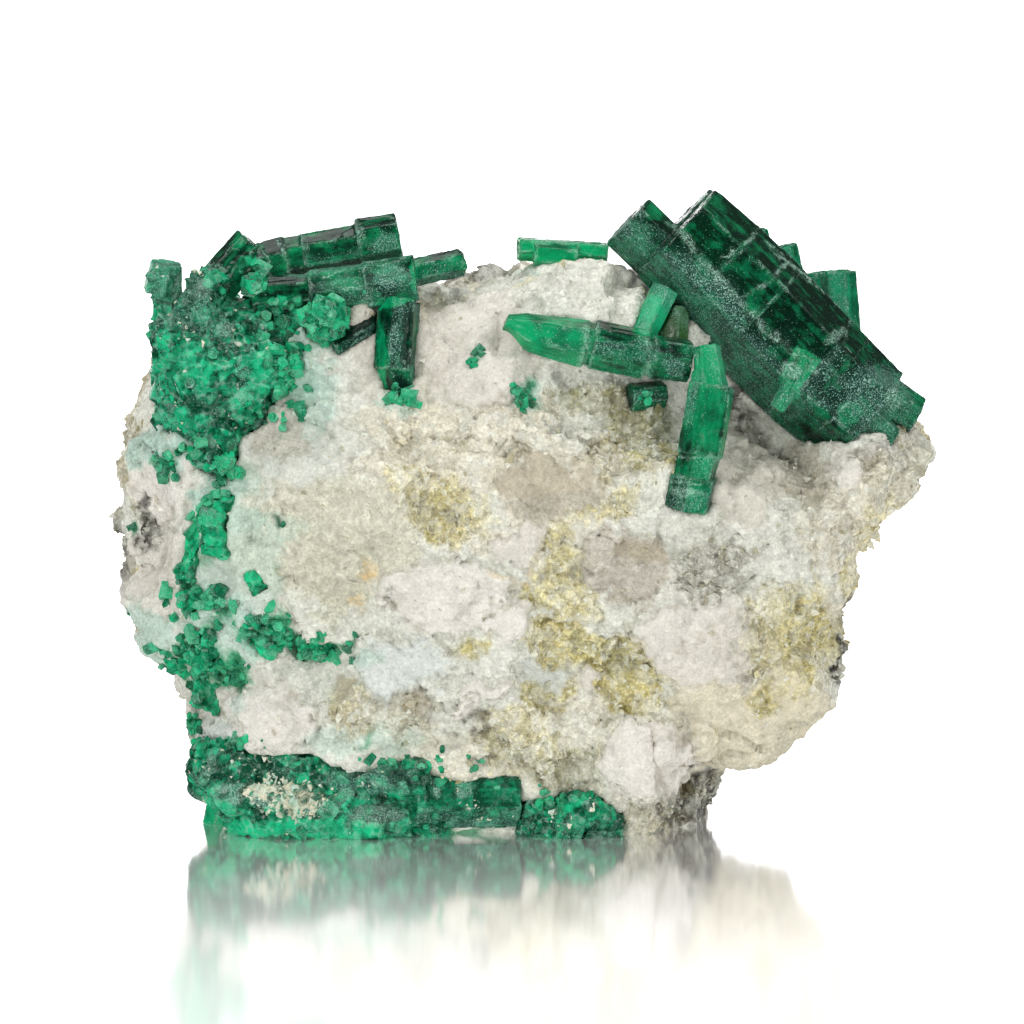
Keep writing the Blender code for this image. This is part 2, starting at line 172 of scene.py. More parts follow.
def read_layer(mesh, name, width):
    """Stored numbers (width 1) or colours (width 4), a row for each vertex."""
    layer = mesh.attributes[name]
    flat = np.empty(len(mesh.vertices) * width, np.float32)
    layer.data.foreach_get("value" if width == 1 else "color", flat)
    return flat.reshape(-1, width)


def shade_smooth(mesh):
    for face in mesh.polygons:
        face.use_smooth = True


def mesh_of(name, bm):
    """Turn a bmesh into a mesh, and free it."""
    mesh = bpy.data.meshes.new(name)
    bm.to_mesh(mesh)
    bm.free()
    return mesh


def new_piece(name, mesh):
    piece = bpy.data.objects.new(name, mesh)
    bpy.context.scene.collection.objects.link(piece)
    return piece


def applied(piece):
    """Turn a piece's modifiers into mesh."""
    graph = bpy.context.evaluated_depsgraph_get()
    result = bpy.data.meshes.new_from_object(piece.evaluated_get(graph))
    old = piece.data
    piece.modifiers.clear()
    piece.data = result
    bpy.data.meshes.remove(old)
    return piece


WELD_DISTANCE = 2e-6


def welded_copy(node, name):
    """A copy of a CAD node's mesh with its split vertices joined."""
    bm = bmesh.new()
    bm.from_mesh(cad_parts[node].data)
    bmesh.ops.remove_doubles(bm, verts=bm.verts, dist=WELD_DISTANCE)
    mesh = mesh_of(name, bm)
    mesh.materials.clear()
    return new_piece(name, mesh)


def voxel_copy(node, name, voxel):
    """The same, remeshed evenly with squares of voxel millimetres."""
    piece = welded_copy(node, name)
    step = piece.modifiers.new("remesh", "REMESH")
    step.mode = "VOXEL"
    step.voxel_size = voxel * MM
    step.adaptivity = 0.0
    return applied(piece)


def thin_out(piece, triangles):
    """Reduce a piece to a number of triangles, most where it is smooth."""
    piece.data.calc_loop_triangles()
    count = len(piece.data.loop_triangles)
    if count > triangles:
        step = piece.modifiers.new("decimate", "DECIMATE")
        step.ratio = triangles / count
        applied(piece)
    return piece


def finish_piece(piece, node_slot, *nodes):
    """Put a piece on the body in place of the CAD nodes that it dresses. node_slot is not used."""
    if nodes:
        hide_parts(*nodes)
    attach(piece, "root")
    return piece


# ================================================================ places in the front view
def picture_place(points):
    """Column and row of the picture at which each point is seen."""
    column = PIXEL_X0 + points[:, 0] / MM_PER_PIXEL
    rise = points[:, 2] * math.cos(CAMERA_RISE) + (points[:, 1] - FRONT_Y) * math.sin(CAMERA_RISE)
    return np.stack([column, PIXEL_Z0 - rise / MM_PER_PIXEL], 1)


def wobble(places, points, amount, size):
    """Push picture places about, so that the patches laid on them get ragged edges."""
    moved = places.copy()
    moved[:, 0] += amount * fractal(points, size, 3, 5.1)
    moved[:, 1] += amount * fractal(points, size, 3, 41.7)
    return moved


def oval(places, column, row, wide, high, turn=0.0, soft=0.35):
    """1 inside an oval patch of the front view, falling to 0 at its edge."""
    angle = math.radians(turn)
    right = places[:, 0] - column
    down = places[:, 1] - row
    along = (right * math.cos(angle) + down * math.sin(angle)) / wide
    across = (down * math.cos(angle) - right * math.sin(angle)) / high
    return 1 - smoothstep(1 - soft, 1 + soft, np.hypot(along, across))


def line_distance(places, corners):
    """Distance in pixels to a line with corners, and whether a place lies to the left of the line's way."""
    nearest = np.full(len(places), np.inf)
    is_left = np.zeros(len(places), bool)
    for (ax, ay), (bx, by) in zip(corners, corners[1:]):
        start = np.array([ax, ay], float)
        side = np.array([bx - ax, by - ay], float)
        away = places - start
        along = np.clip((away @ side) / (side @ side), 0, 1)
        distance = np.linalg.norm(away - along[:, None] * side, axis=1)
        left = side[0] * away[:, 1] - side[1] * away[:, 0] < 0
        is_left = np.where(distance < nearest, left, is_left)
        nearest = np.minimum(nearest, distance)
    return nearest, is_left


# ================================================================ materials
class Nodes:
    """Short hand for building a material's nodes."""

    def __init__(self, name):
        self.material = bpy.data.materials.new(name)
        self.material.use_nodes = True
        self.tree = self.material.node_tree
        self.shader = self.tree.nodes["Principled BSDF"]
        self.output = self.tree.nodes["Material Output"]

    def make(self, kind, **settings):
        node = self.tree.nodes.new(kind)
        for key, value in settings.items():
            setattr(node, key, value)
        return node

    def join(self, source, target):
        self.tree.links.new(source, target)

    def feed(self, value, socket):
        """Link a socket, or set its plain value."""
        if isinstance(value, bpy.types.NodeSocket):
            self.join(value, socket)
        else:
            socket.default_value = value

    def attribute(self, name, output="Fac"):
        """A value, colour or vector that the mesh carries."""
        return self.make("ShaderNodeAttribute", attribute_name=name).outputs[output]

    def plain(self, **values):
        """Set plain values on the shader, by socket name with _ for each space."""
        for name, value in values.items():
            self.shader.inputs[name.replace("_", " ")].default_value = value

    def total(self, *terms):
        """Sum of sockets and numbers."""
        result = terms[0]
        for term in terms[1:]:
            result = self.math("ADD", result, term)
        return result

    def times(self, *terms):
        """Product of sockets and numbers."""
        result = terms[0]
        for term in terms[1:]:
            result = self.math("MULTIPLY", result, term)
        return result

    def choose(self, part, first, second):
        """A number between two others, by part."""
        node = self.make("ShaderNodeMix", data_type="FLOAT")
        self.feed(part, node.inputs[0])
        self.feed(first, node.inputs[2])
        self.feed(second, node.inputs[3])
        return node.outputs[0]

    def math(self, operation, first, second, clamp=False):
        node = self.make("ShaderNodeMath", operation=operation, use_clamp=clamp)
        self.feed(first, node.inputs[0])
        self.feed(second, node.inputs[1])
        return node.outputs[0]

    def ramp(self, value, low, high, start=0.0, end=1.0):
        node = self.make("ShaderNodeMapRange", interpolation_type="SMOOTHSTEP")
        self.feed(value, node.inputs["Value"])
        node.inputs["From Min"].default_value = low
        node.inputs["From Max"].default_value = high
        node.inputs["To Min"].default_value = start
        node.inputs["To Max"].default_value = end
        return node.outputs["Result"]

    def mix(self, part, first, second, blend="MIX"):
        node = self.make("ShaderNodeMix", data_type="RGBA", blend_type=blend)
        self.feed(part, node.inputs[0])
        self.feed(first, node.inputs[6])
        self.feed(second, node.inputs[7])
        return node.outputs[2]

    def place(self, unit_length=MM):
        """Place in the object, in millimetres or another unit."""
        coordinate = self.make("ShaderNodeTexCoord")
        node = self.make("ShaderNodeVectorMath", operation="SCALE")
        self.join(coordinate.outputs["Object"], node.inputs[0])
        node.inputs["Scale"].default_value = 1 / unit_length
        return node.outputs[0]

    def noise(self, vector, scale, detail, rough):
        node = self.make("ShaderNodeTexNoise")
        self.join(vector, node.inputs["Vector"])
        node.inputs["Scale"].default_value = scale
        node.inputs["Detail"].default_value = detail
        node.inputs["Roughness"].default_value = rough
        return node.outputs["Fac"]

    def cells(self, vector, scale):
        node = self.make("ShaderNodeTexVoronoi", feature="F1")
        self.join(vector, node.inputs["Vector"])
        node.inputs["Scale"].default_value = scale
        return node.outputs

    def vector_math(self, operation, first, second):
        node = self.make("ShaderNodeVectorMath", operation=operation)
        self.feed(first, node.inputs[0])
        self.feed(second, node.inputs[1])
        return node.outputs["Value" if operation == "DOT_PRODUCT" else "Vector"]

    def facets(self, vector, scale):
        """Flat facets that each lean their own way: their height in millimetres, colours and rims."""
        cell = self.cells(vector, scale)
        away = self.vector_math("SUBTRACT", vector, cell["Position"])
        lean = self.vector_math("SUBTRACT", cell["Color"], (0.5, 0.5, 0.5))
        height = self.vector_math("DOT_PRODUCT", away, lean)
        return height, cell["Color"], self.ramp(cell["Distance"], 0.45, 0.80)

    def part_of(self, vector, axis):
        node = self.make("ShaderNodeSeparateXYZ")
        self.join(vector, node.inputs[0])
        return node.outputs[axis]

    def bump(self, height, strength, distance, below=None):
        """distance is in millimetres."""
        node = self.make("ShaderNodeBump")
        node.inputs["Strength"].default_value = strength
        node.inputs["Distance"].default_value = distance * MM
        self.join(height, node.inputs["Height"])
        if below is not None:
            self.join(below, node.inputs["Normal"])
        return node.outputs["Normal"]


def colour(red, green, blue):
    return (red, green, blue, 1.0)


def calcite_material():
    """White calcite: tinted by its minerals, granular where it broke and smooth where it cleaved."""
    nodes = Nodes("calcite")
    place = nodes.place()
    tint = nodes.attribute("tint", "Color")
    sugar = nodes.attribute("sugar")
    clear = nodes.attribute("clear")
    _, coarse_colour, _ = nodes.facets(place, 0.55)
    middle, middle_colour, _ = nodes.facets(place, 1.5)
    fine, fine_colour, _ = nodes.facets(place, 3.6)
    speck = nodes.noise(place, 2.6, 2.0, 0.7)
    mottled = nodes.times(
        nodes.ramp(nodes.part_of(middle_colour, 0), 0.0, 1.0, 0.82, 1.12),
        nodes.ramp(nodes.part_of(fine_colour, 1), 0.0, 1.0, 0.84, 1.12),
        nodes.ramp(speck, 0.3, 0.7, 0.84, 1.12),
    )
    even = nodes.ramp(nodes.part_of(coarse_colour, 2), 0.0, 1.0, 0.95, 1.03)
    broken_part = nodes.ramp(sugar, 0.0, 1.0, 0.30, 1.0)
    shade = nodes.choose(broken_part, even, mottled)
    nodes.join(nodes.vector_math("MULTIPLY", tint, shade), nodes.shader.inputs["Base Color"])
    rough = nodes.math("SUBTRACT", nodes.ramp(speck, 0.3, 0.7, 0.24, 0.52), nodes.times(clear, 0.12))
    nodes.join(rough, nodes.shader.inputs["Roughness"])
    nodes.plain(IOR=1.55)
    broken = nodes.total(nodes.times(middle, 0.9), nodes.times(fine, 0.7))
    height = nodes.total(nodes.times(broken, broken_part), nodes.times(speck, 0.12))
    nodes.join(nodes.bump(height, 1.0, 1.0), nodes.shader.inputs["Normal"])
    return nodes.material


FROST_GREEN = colour(0.016, 0.150, 0.105)  # an etched face
PIT_AND_GLINT_GREEN = colour(0.27, 0.52, 0.42)  # the pale pits of an etched face, which also serve as painted glints
HEALED_AND_GLINT_GREEN = colour(0.36, 0.60, 0.48)  # pale crumbs in healed cracks, and painted glints on the rims of broken flakes
BERYL_IOR = 1.58


class Beryl(Nodes):
    """The parts that the look of green beryl is mixed from."""

    def __init__(self, name):
        super().__init__(name)
        place = self.place()
        self.frost = self.attribute("frost")
        self.heal = self.attribute("heal")
        self.rugged = self.attribute("rugged")
        self.cloud = self.noise(place, 0.55, 3.0, 0.6)
        self.speck = self.noise(place, 7.5, 1.0, 0.6)
        self.stripe = self.noise(self.attribute("along", "Vector"), 1.0, 3.0, 0.6)
        self.lump, self.lump_colour, _ = self.facets(place, 0.60)
        self.flake, self.flake_colour, self.flake_rim_glint = self.facets(place, 1.55)

    def brightness(self):
        """0 where the crystal looks deep, 1 where light comes through it."""
        clouded = self.total(self.attribute("glow"), self.ramp(self.cloud, 0.35, 0.7, -0.20, 0.24))
        striped = self.total(clouded, self.ramp(self.stripe, 0.32, 0.68, -0.14, 0.14))
        uneven = self.total(
            self.ramp(self.part_of(self.lump_colour, 0), 0.0, 1.0, -0.34, 0.34),
            self.ramp(self.part_of(self.flake_colour, 1), 0.0, 1.0, -0.22, 0.22),
        )
        return self.math("ADD", striped, self.times(uneven, self.rugged), True)

    def crumbs(self):
        """Pale crumbs in the healed cracks, and a painted glint on the rims of broken flakes."""
        healed = self.math("MULTIPLY", self.heal, self.ramp(self.speck, 0.42, 0.60, 0.02, 1.0), True)
        patchy = self.ramp(self.cloud, 0.40, 0.62, 0.0, 0.38)
        # painted glint: pale rims of broken flakes, in patches
        return self.math("MAXIMUM", healed, self.times(self.flake_rim_glint, self.rugged, patchy))

    def relief(self):
        """Grooves along the crystal, pits where it is etched, and chips where it is broken."""
        groove = self.bump(self.stripe, 0.30, 0.10)
        pitted = self.bump(self.times(self.speck, self.total(self.frost, 0.06)), 0.8, 0.12, groove)
        chipped = self.total(self.times(self.lump, 0.8), self.times(self.flake, 0.8))
        broken = self.math("ADD", self.rugged, self.times(self.heal, 0.4), True)
        return self.bump(self.times(chipped, broken), 1.0, 1.0, pitted)


def emerald_material(name, deep, bright, density, absorb, transmission, gloss):
    """Green beryl: clear where its faces are whole, silvery where etched with specks that serve as painted
    glints, pale where cracks have healed, with painted glints on broken flake rims.
    """
    nodes = Beryl(name)
    thick = nodes.total(nodes.times(nodes.frost, 0.175), nodes.times(nodes.stripe, 0.03))
    # pale pits where etched, whose bright specks are painted glints
    pits_and_glints = nodes.ramp(nodes.total(nodes.speck, thick), 0.700, 0.800)
    haze = nodes.times(nodes.frost, 0.30)
    # pale healed crumbs, and painted glints on flake rims
    crumbs = nodes.crumbs()
    body = nodes.mix(nodes.brightness(), deep, bright)
    body = nodes.mix(haze, body, FROST_GREEN)
    body = nodes.mix(nodes.times(pits_and_glints, 0.85), body, PIT_AND_GLINT_GREEN)
    body = nodes.mix(crumbs, body, HEALED_AND_GLINT_GREEN)
    nodes.join(body, nodes.shader.inputs["Base Color"])
    dull = nodes.total(nodes.times(nodes.frost, 0.28), nodes.times(nodes.heal, 0.25))
    rough = nodes.total(dull, nodes.ramp(nodes.stripe, 0.3, 0.7, 0.06, 0.14))
    nodes.join(rough, nodes.shader.inputs["Roughness"])
    solid = nodes.math("ADD", nodes.times(pits_and_glints, 0.8), nodes.total(haze, crumbs), True)
    clear = nodes.times(nodes.math("SUBTRACT", 1.0, solid, True), transmission)
    clear = nodes.times(clear, nodes.ramp(nodes.rugged, 0.0, 1.0, 1.0, 0.35))
    nodes.join(clear, nodes.shader.inputs["Transmission Weight"])
    nodes.plain(IOR=BERYL_IOR, Specular_IOR_Level=gloss)
    nodes.join(nodes.relief(), nodes.shader.inputs["Normal"])
    volume = nodes.make("ShaderNodeVolumeAbsorption")
    volume.inputs["Color"].default_value = absorb
    volume.inputs["Density"].default_value = density
    nodes.join(volume.outputs[0], nodes.output.inputs["Volume"])
    return nodes.material


def grain_material():
    """Loose grains: glassier than the rock, each with its own tint."""
    nodes = Nodes("calcite_grains")
    tint = nodes.attribute("tint", "Color")
    speck = nodes.noise(nodes.place(), 3.0, 3.0, 0.6)
    shade = nodes.mix(nodes.ramp(speck, 0.35, 0.65), colour(0.78, 0.77, 0.72), colour(1.0, 1.0, 1.0))
    nodes.join(nodes.mix(1.0, tint, shade, "MULTIPLY"), nodes.shader.inputs["Base Color"])
    nodes.join(nodes.ramp(speck, 0.3, 0.7, 0.12, 0.38), nodes.shader.inputs["Roughness"])
    nodes.plain(IOR=1.6)
    nodes.join(nodes.bump(speck, 0.4, 0.1), nodes.shader.inputs["Normal"])
    return nodes.material


CALCITE = calcite_material()
GRAIN = grain_material()
DARK = emerald_material(
    "green_dark", deep=colour(0.0005, 0.024, 0.012), bright=colour(0.003, 0.56, 0.21),
    density=120.0, absorb=colour(0.02, 0.85, 0.45), transmission=0.50, gloss=0.10,
)
BRIGHT = emerald_material(
    "green_bright", deep=colour(0.002, 0.14, 0.058), bright=colour(0.014, 0.62, 0.27),
    density=80.0, absorb=colour(0.05, 0.90, 0.50), transmission=0.35, gloss=0.25,
)
OLIVE = emerald_material(
    "green_olive", deep=colour(0.03, 0.10, 0.02), bright=colour(0.12, 0.34, 0.08),
    density=140.0, absorb=colour(0.35, 0.75, 0.20), transmission=0.60, gloss=0.25,
)
MASS = emerald_material(
    "green_mass", deep=colour(0.001, 0.075, 0.034), bright=colour(0.012, 0.60, 0.27),
    density=80.0, absorb=colour(0.05, 0.90, 0.50), transmission=0.30, gloss=0.45,
)

SLOT_OF = {
    "green_dark": "dark_emerald",
    "green_bright": "bright_emerald",
    "green_olive": "olive_emerald_green",
    "green_mass": "dark_emerald",
}


# ================================================================ the minerals of the rock
def screen(red, green, blue):
    """A colour as seen on a screen, 0 to 255, turned into the light it stands for."""
    return np.array([(part / 255 + 0.055) / 1.055 for part in (red, green, blue)]) ** 2.4


# What each mineral looks like: its colour, how granular it is, and how glassy.
MINERALS = {
    "white": (screen(228, 229, 216), 0.42, 0.2),
    "smooth": (screen(227, 223, 213), 0.12, 0.3),
    "milk": (screen(224, 230, 225), 0.15, 0.5),
    "cream": (screen(238, 230, 206), 0.65, 0.2),
    "cream_smooth": (screen(232, 224, 200), 0.25, 0.2),
    "dull": (screen(214, 212, 190), 0.45, 0.3),
    "yellow": (screen(240, 230, 176), 0.90, 0.3),
    "yellow_green": (screen(224, 212, 142), 0.95, 0.4),
    "olive": (screen(182, 180, 138), 1.00, 0.5),
    "brown": (screen(208, 201, 172), 1.00, 0.3),
    "grey": (screen(204, 198, 184), 0.45, 0.6),
    "quartz": (screen(196, 186, 164), 0.20, 0.8),
    "needle": (screen(188, 186, 174), 1.00, 0.5),
    # shale; its patches along the large crystal and under the crossing crystal are painted shadow
    "shale": (screen(84, 82, 76), 1.00, 0.4),
    "orange": (screen(240, 204, 130), 0.20, 0.2),
    "mint": (screen(186, 216, 200), 0.30, 0.8),
    "green": (screen(30, 160, 108), 0.55, 0.9),
    "deep_green": (screen(14, 96, 64), 0.60, 0.9),
}

# Minerals that lie as loose clumps, with paler rock between them.
GRAINY = {"yellow", "yellow_green", "olive", "brown", "needle", "shale", "cream", "orange"}

# Where they show in the front, with some patches of painted shadow: mineral, column, row, half width, half
# height, turn, strength.
FRONT_PATCHES = [
    ("cream", 500, 470, 130, 80, 10, 0.75),
    ("cream", 400, 450, 60, 60, 0, 0.45),
    ("cream", 600, 750, 100, 70, 0, 0.5),
    ("cream_smooth", 740, 700, 70, 80, 0, 0.9),
    ("cream", 860, 520, 60, 70, -40, 0.8),
    ("cream", 470, 760, 90, 30, 0, 0.6),
    ("dull", 325, 540, 100, 66, 0, 0.95),
    ("smooth", 400, 350, 60, 60, 0, 0.7),
    ("smooth", 480, 350, 60, 60, 0, 0.9),
    ("milk", 300, 440, 60, 40, 0, 0.5),
    ("grey", 285, 440, 30, 22, 0, 0.6),
    ("smooth", 160, 480, 35, 42, 0, 1.0),
    ("smooth", 160, 570, 42, 36, 0, 0.9),
    ("yellow", 441, 512, 36, 34, 20, 0.85),
    ("yellow", 415, 478, 22, 18, 0, 0.7),
    ("yellow_green", 446, 505, 14, 10, 0, 0.8),
    ("yellow_green", 434, 532, 12, 6, 0, 0.8),
    ("white", 490, 505, 18, 16, 0, 0.8),
    ("quartz", 545, 478, 52, 22, 8, 0.95),
    ("grey", 555, 505, 45, 16, 0, 0.8),
    ("olive", 640, 420, 46, 30, 25, 0.85),
    ("olive", 590, 400, 26, 18, 0, 0.6),
    ("brown", 620, 460, 44, 24, 10, 0.8),
    ("olive", 650, 455, 26, 26, 0, 0.8),
    ("white", 575, 430, 24, 22, 0, 0.7),
    ("smooth", 520, 540, 26, 22, 0, 0.9),
    ("yellow", 566, 560, 22, 34, -30, 0.95),
    ("yellow_green", 535, 597, 22, 22, 0, 0.9),
    ("yellow", 600, 512, 46, 10, -25, 0.8),
    ("yellow", 560, 590, 40, 24, 35, 0.9),
    ("grey", 625, 565, 48, 36, 15, 1.0),
    ("quartz", 640, 550, 26, 14, 20, 0.8),
    ("yellow_green", 590, 655, 60, 30, 12, 1.0),
    ("yellow_green", 632, 678, 34, 40, -30, 0.95),
    ("yellow", 560, 640, 50, 18, 0, 0.8),
    ("olive", 600, 648, 34, 12, 20, 0.6),
    ("yellow_green", 545, 690, 26, 26, 40, 0.8),
    ("yellow", 520, 735, 40, 24, 0, 0.7),
    ("smooth", 441, 596, 62, 36, 0, 1.0),
    ("smooth", 505, 628, 26, 22, 0, 1.0),
    ("milk", 545, 675, 26, 12, 10, 0.9),
    ("smooth", 478, 698, 34, 12, -35, 1.0),
    ("smooth", 585, 690, 12, 14, 0, 0.9),
    ("yellow_green", 466, 648, 20, 10, -10, 0.9),
    ("olive", 452, 643, 12, 5, 0, 0.8),
    ("milk", 400, 665, 52, 26, 0, 0.9),
    ("grey", 416, 702, 16, 14, 0, 0.9),
    ("yellow", 352, 702, 24, 22, 30, 0.75),
    ("quartz", 345, 690, 14, 14, 0, 0.7),
    ("smooth", 260, 715, 56, 34, 0, 1.0),
    ("milk", 210, 735, 24, 12, 0, 0.9),
    ("smooth", 705, 640, 70, 46, 0, 0.95),
    ("smooth", 650, 760, 46, 40, 0, 1.0),
    ("yellow_green", 688, 792, 16, 10, -30, 0.9),
    ("needle", 710, 572, 40, 30, 0, 0.95),
    ("needle", 700, 560, 20, 34, 20, 0.7),
    ("needle", 755, 645, 24, 40, 0, 0.55),
    ("grey", 806, 474, 34, 36, 0, 0.6),
    ("smooth", 740, 480, 34, 50, 0, 0.7),
    ("smooth", 850, 466, 22, 22, 0, 0.95),
    ("needle", 885, 455, 26, 18, 0, 0.7),
    ("brown", 905, 470, 40, 34, -45, 0.5),
    ("yellow", 870, 560, 22, 60, 25, 0.7),
    ("yellow", 812, 620, 26, 24, 0, 0.85),
    ("yellow_green", 830, 640, 20, 16, 0, 0.6),
    ("yellow_green", 768, 701, 18, 16, 0, 0.85),
    ("cream_smooth", 810, 716, 28, 34, -40, 0.8),
    ("shale", 842, 664, 6, 18, 0, 1.0),
    ("shale", 698, 805, 28, 28, -30, 0.85),
    ("shale", 478, 728, 18, 12, 0, 0.75),
    ("shale", 560, 790, 26, 14, 20, 0.55),
    ("olive", 570, 760, 34, 26, 0, 0.6),
    ("olive", 505, 752, 26, 18, 0, 0.5),
    ("orange", 367, 578, 11, 14, 30, 0.75),
    ("orange", 352, 600, 7, 6, 0, 0.6),
    ("orange", 527, 571, 4, 3, 0, 1.0),
    ("orange", 505, 583, 20, 5, 10, 0.35),
    ("shale", 466, 276, 56, 5, 0, 0.9),
    ("needle", 452, 285, 22, 14, 0, 0.8),
    ("brown", 430, 300, 18, 16, 0, 0.5),
    ("shale", 148, 524, 9, 26, -10, 1.0),
    ("brown", 133, 470, 8, 46, 5, 0.9),
    ("yellow", 136, 568, 7, 8, 0, 0.9),
    ("shale", 147, 440, 5, 10, 20, 0.9),
    ("green", 130, 530, 5, 8, 0, 0.8),
    ("needle", 395, 405, 22, 12, 0, 0.4),
    ("mint", 400, 408, 24, 12, 0, 0.6),
    ("mint", 529, 264, 14, 12, 0, 0.8),
    ("mint", 290, 370, 30, 30, 0, 0.6),
    ("mint", 170, 452, 34, 14, 0, 0.85),
    ("green", 168, 459, 7, 9, 0, 0.85),
    ("green", 219, 446, 20, 22, 10, 0.9),
    ("deep_green", 215, 474, 12, 20, 0, 0.75),
    ("mint", 220, 490, 22, 30, 0, 0.7),
    ("mint", 194, 502, 10, 12, 0, 0.9),
    ("mint", 250, 480, 16, 20, 0, 0.45),
    ("mint", 262, 522, 60, 16, 0, 0.35),
    ("mint", 527, 401, 18, 18, 0, 0.8),
    ("green", 527, 400, 11, 11, 0, 0.9),
    ("green", 476, 362, 5, 7, 0, 1.0),
    ("deep_green", 280, 516, 4, 4, 0, 1.0),
    ("mint", 213, 615, 34, 24, 0, 0.75),
    ("green", 195, 600, 16, 12, 0, 0.9),
    ("deep_green", 214, 606, 34, 7, 35, 0.95),
    ("green", 230, 622, 18, 12, 0, 0.7),
    ("mint", 150, 630, 34, 26, 45, 0.7),
    ("green", 123, 610, 5, 14, -10, 0.9),
    ("green", 168, 660, 8, 18, 20, 0.9),
    ("green", 180, 676, 14, 16, 0, 0.9),
    ("green", 268, 632, 26, 20, 0, 0.95),
    ("mint", 240, 645, 18, 24, 0, 0.7),
    ("green", 205, 652, 22, 26, 0, 0.9),
    ("green", 226, 672, 18, 14, 0, 0.9),
    ("deep_green", 310, 648, 26, 13, 8, 0.95),
    ("green", 335, 640, 18, 8, 0, 0.8),
    ("mint", 240, 704, 10, 18, 0, 0.5),
    ("deep_green", 190, 715, 8, 22, 0, 0.85),
    ("mint", 370, 655, 14, 10, 0, 0.6),
    ("green", 358, 671, 7, 5, 0, 0.95),
    ("mint", 355, 740, 60, 14, 0, 0.5),
    ("green", 378, 740, 5, 9, 0, 0.6),
    ("mint", 275, 800, 70, 26, 0, 0.7),
    ("green", 300, 820, 110, 12, 2, 0.9),
    ("cream", 290, 800, 40, 14, 15, 0.9),
    ("deep_green", 350, 785, 80, 22, 0, 0.9),
    ("deep_green", 460, 795, 60, 20, 0, 0.7),
    ("green", 278, 795, 6, 6, 0, 0.9),
    ("mint", 378, 816, 30, 14, 0, 0.9),
    ("green", 455, 831, 60, 6, 3, 0.8),
    ("deep_green", 565, 820, 44, 16, 0, 0.8),
    ("needle", 745, 450, 30, 26, 0, 0.25),
    # painted shadow: this and the next two shale patches darken the rock along the lower left edge of the
    # large crystal
    ("shale", 766, 436, 46, 9, 45, 0.60),
    ("shale", 740, 405, 10, 24, 0, 0.8),
    ("shale", 806, 474, 24, 7, 45, 0.6),
    ("shale", 640, 412, 24, 8, 10, 0.5),
    # painted shadow: the shale patch under the crossing crystal
    ("shale", 596, 386, 44, 7, 14, 0.6),
    ("olive", 610, 402, 44, 16, 12, 0.8),
    ("brown", 385, 715, 50, 24, 0, 0.7),
    ("needle", 815, 530, 44, 30, 0, 0.3),
    ("yellow", 455, 510, 40, 26, 0, 0.5),
    ("green", 296, 385, 14, 30, 0, 0.6),
    ("mint", 312, 392, 26, 40, 0, 0.7),
    ("green", 262, 420, 16, 12, 0, 0.5),
    ("mint", 300, 330, 46, 22, 0, 0.8),
    ("green", 320, 322, 26, 18, 0, 0.6),
    ("mint", 165, 440, 30, 16, 0, 0.7),
    ("mint", 240, 560, 40, 60, 0, 0.5),
    ("green", 205, 560, 14, 20, 0, 0.5),
    ("shale", 716, 788, 22, 20, -30, 0.9),
    ("shale", 670, 826, 34, 10, -20, 0.8),
    ("yellow", 860, 610, 16, 40, 15, 0.6),
    ("yellow", 796, 636, 50, 56, 10, 0.65),
    ("yellow_green", 806, 640, 26, 40, 10, 0.5),
    ("smooth", 836, 610, 14, 22, 10, 0.7),
    ("shale", 846, 662, 9, 24, 0, 1.0),
    ("brown", 650, 824, 46, 13, -8, 0.85),
    ("needle", 640, 812, 34, 9, 0, 0.6),
    ("shale", 694, 812, 28, 16, -25, 0.85),
    ("olive", 530, 772, 34, 18, 10, 0.7),
    ("yellow_green", 640, 455, 34, 16, 20, 0.5),
    ("smooth", 700, 480, 26, 24, 0, 0.8),
]

# The same for the other sides, by place: mineral, x, y, z, radius, strength.
OTHER_PATCHES = [
    ("yellow", 38, 2, 30, 13, 0.7),
    ("brown", 42, -4, 42, 9, 0.8),
    ("shale", 36, 6, 20, 8, 0.7),
    ("needle", 30, 14, 40, 13, 0.7),
    ("smooth", 26, 22, 26, 14, 0.9),
    ("yellow_green", 10, 24, 30, 12, 0.8),
    ("cream", 0, 26, 44, 16, 0.8),
    ("quartz", -8, 26, 24, 11, 0.9),
    ("smooth", -24, 22, 34, 16, 0.9),
    ("olive", -6, 24, 10, 10, 0.7),
    ("green", -30, 16, 12, 10, 0.9),
    ("mint", -34, 12, 22, 12, 0.8),
    ("deep_green", -24, 20, 6, 9, 0.8),
    ("green", -32, 12, 52, 9, 0.8),
    ("mint", -26, 16, 50, 12, 0.7),
    ("shale", -43, 4, 30, 7, 0.8),
    ("brown", -44, -4, 42, 10, 0.7),
    ("smooth", -42, 2, 18, 10, 0.8),
    ("shale", -8, 8, 62, 9, 0.6),
    ("grey", 8, 14, 58, 11, 0.8),
    ("orange", 16, 26, 16, 6, 0.5),
    ("yellow", -14, 18, 56, 10, 0.6),
    ("shale", 14, 20, 3, 12, 0.7),
    ("green", 20, 18, 50, 6, 0.7),
]

FRONT_LEAN = (-0.05, 0.25)  # how far a place has to look to the front to take the front's patches
FRONT_DEPTH = (6.0, -4.0)  # where along Y the front's patches start and are whole
PATCH_WOBBLE = [(13.0, 5.0), (5.0, 1.4)]  # how ragged patches are, in pixels, and the rags' size

# Minerals that stand out as whole blocks, and by how many millimetres.
SOLID = {"smooth": 0.70, "milk": 0.60, "quartz": 0.35, "grey": 0.40, "cream_smooth": 0.60}

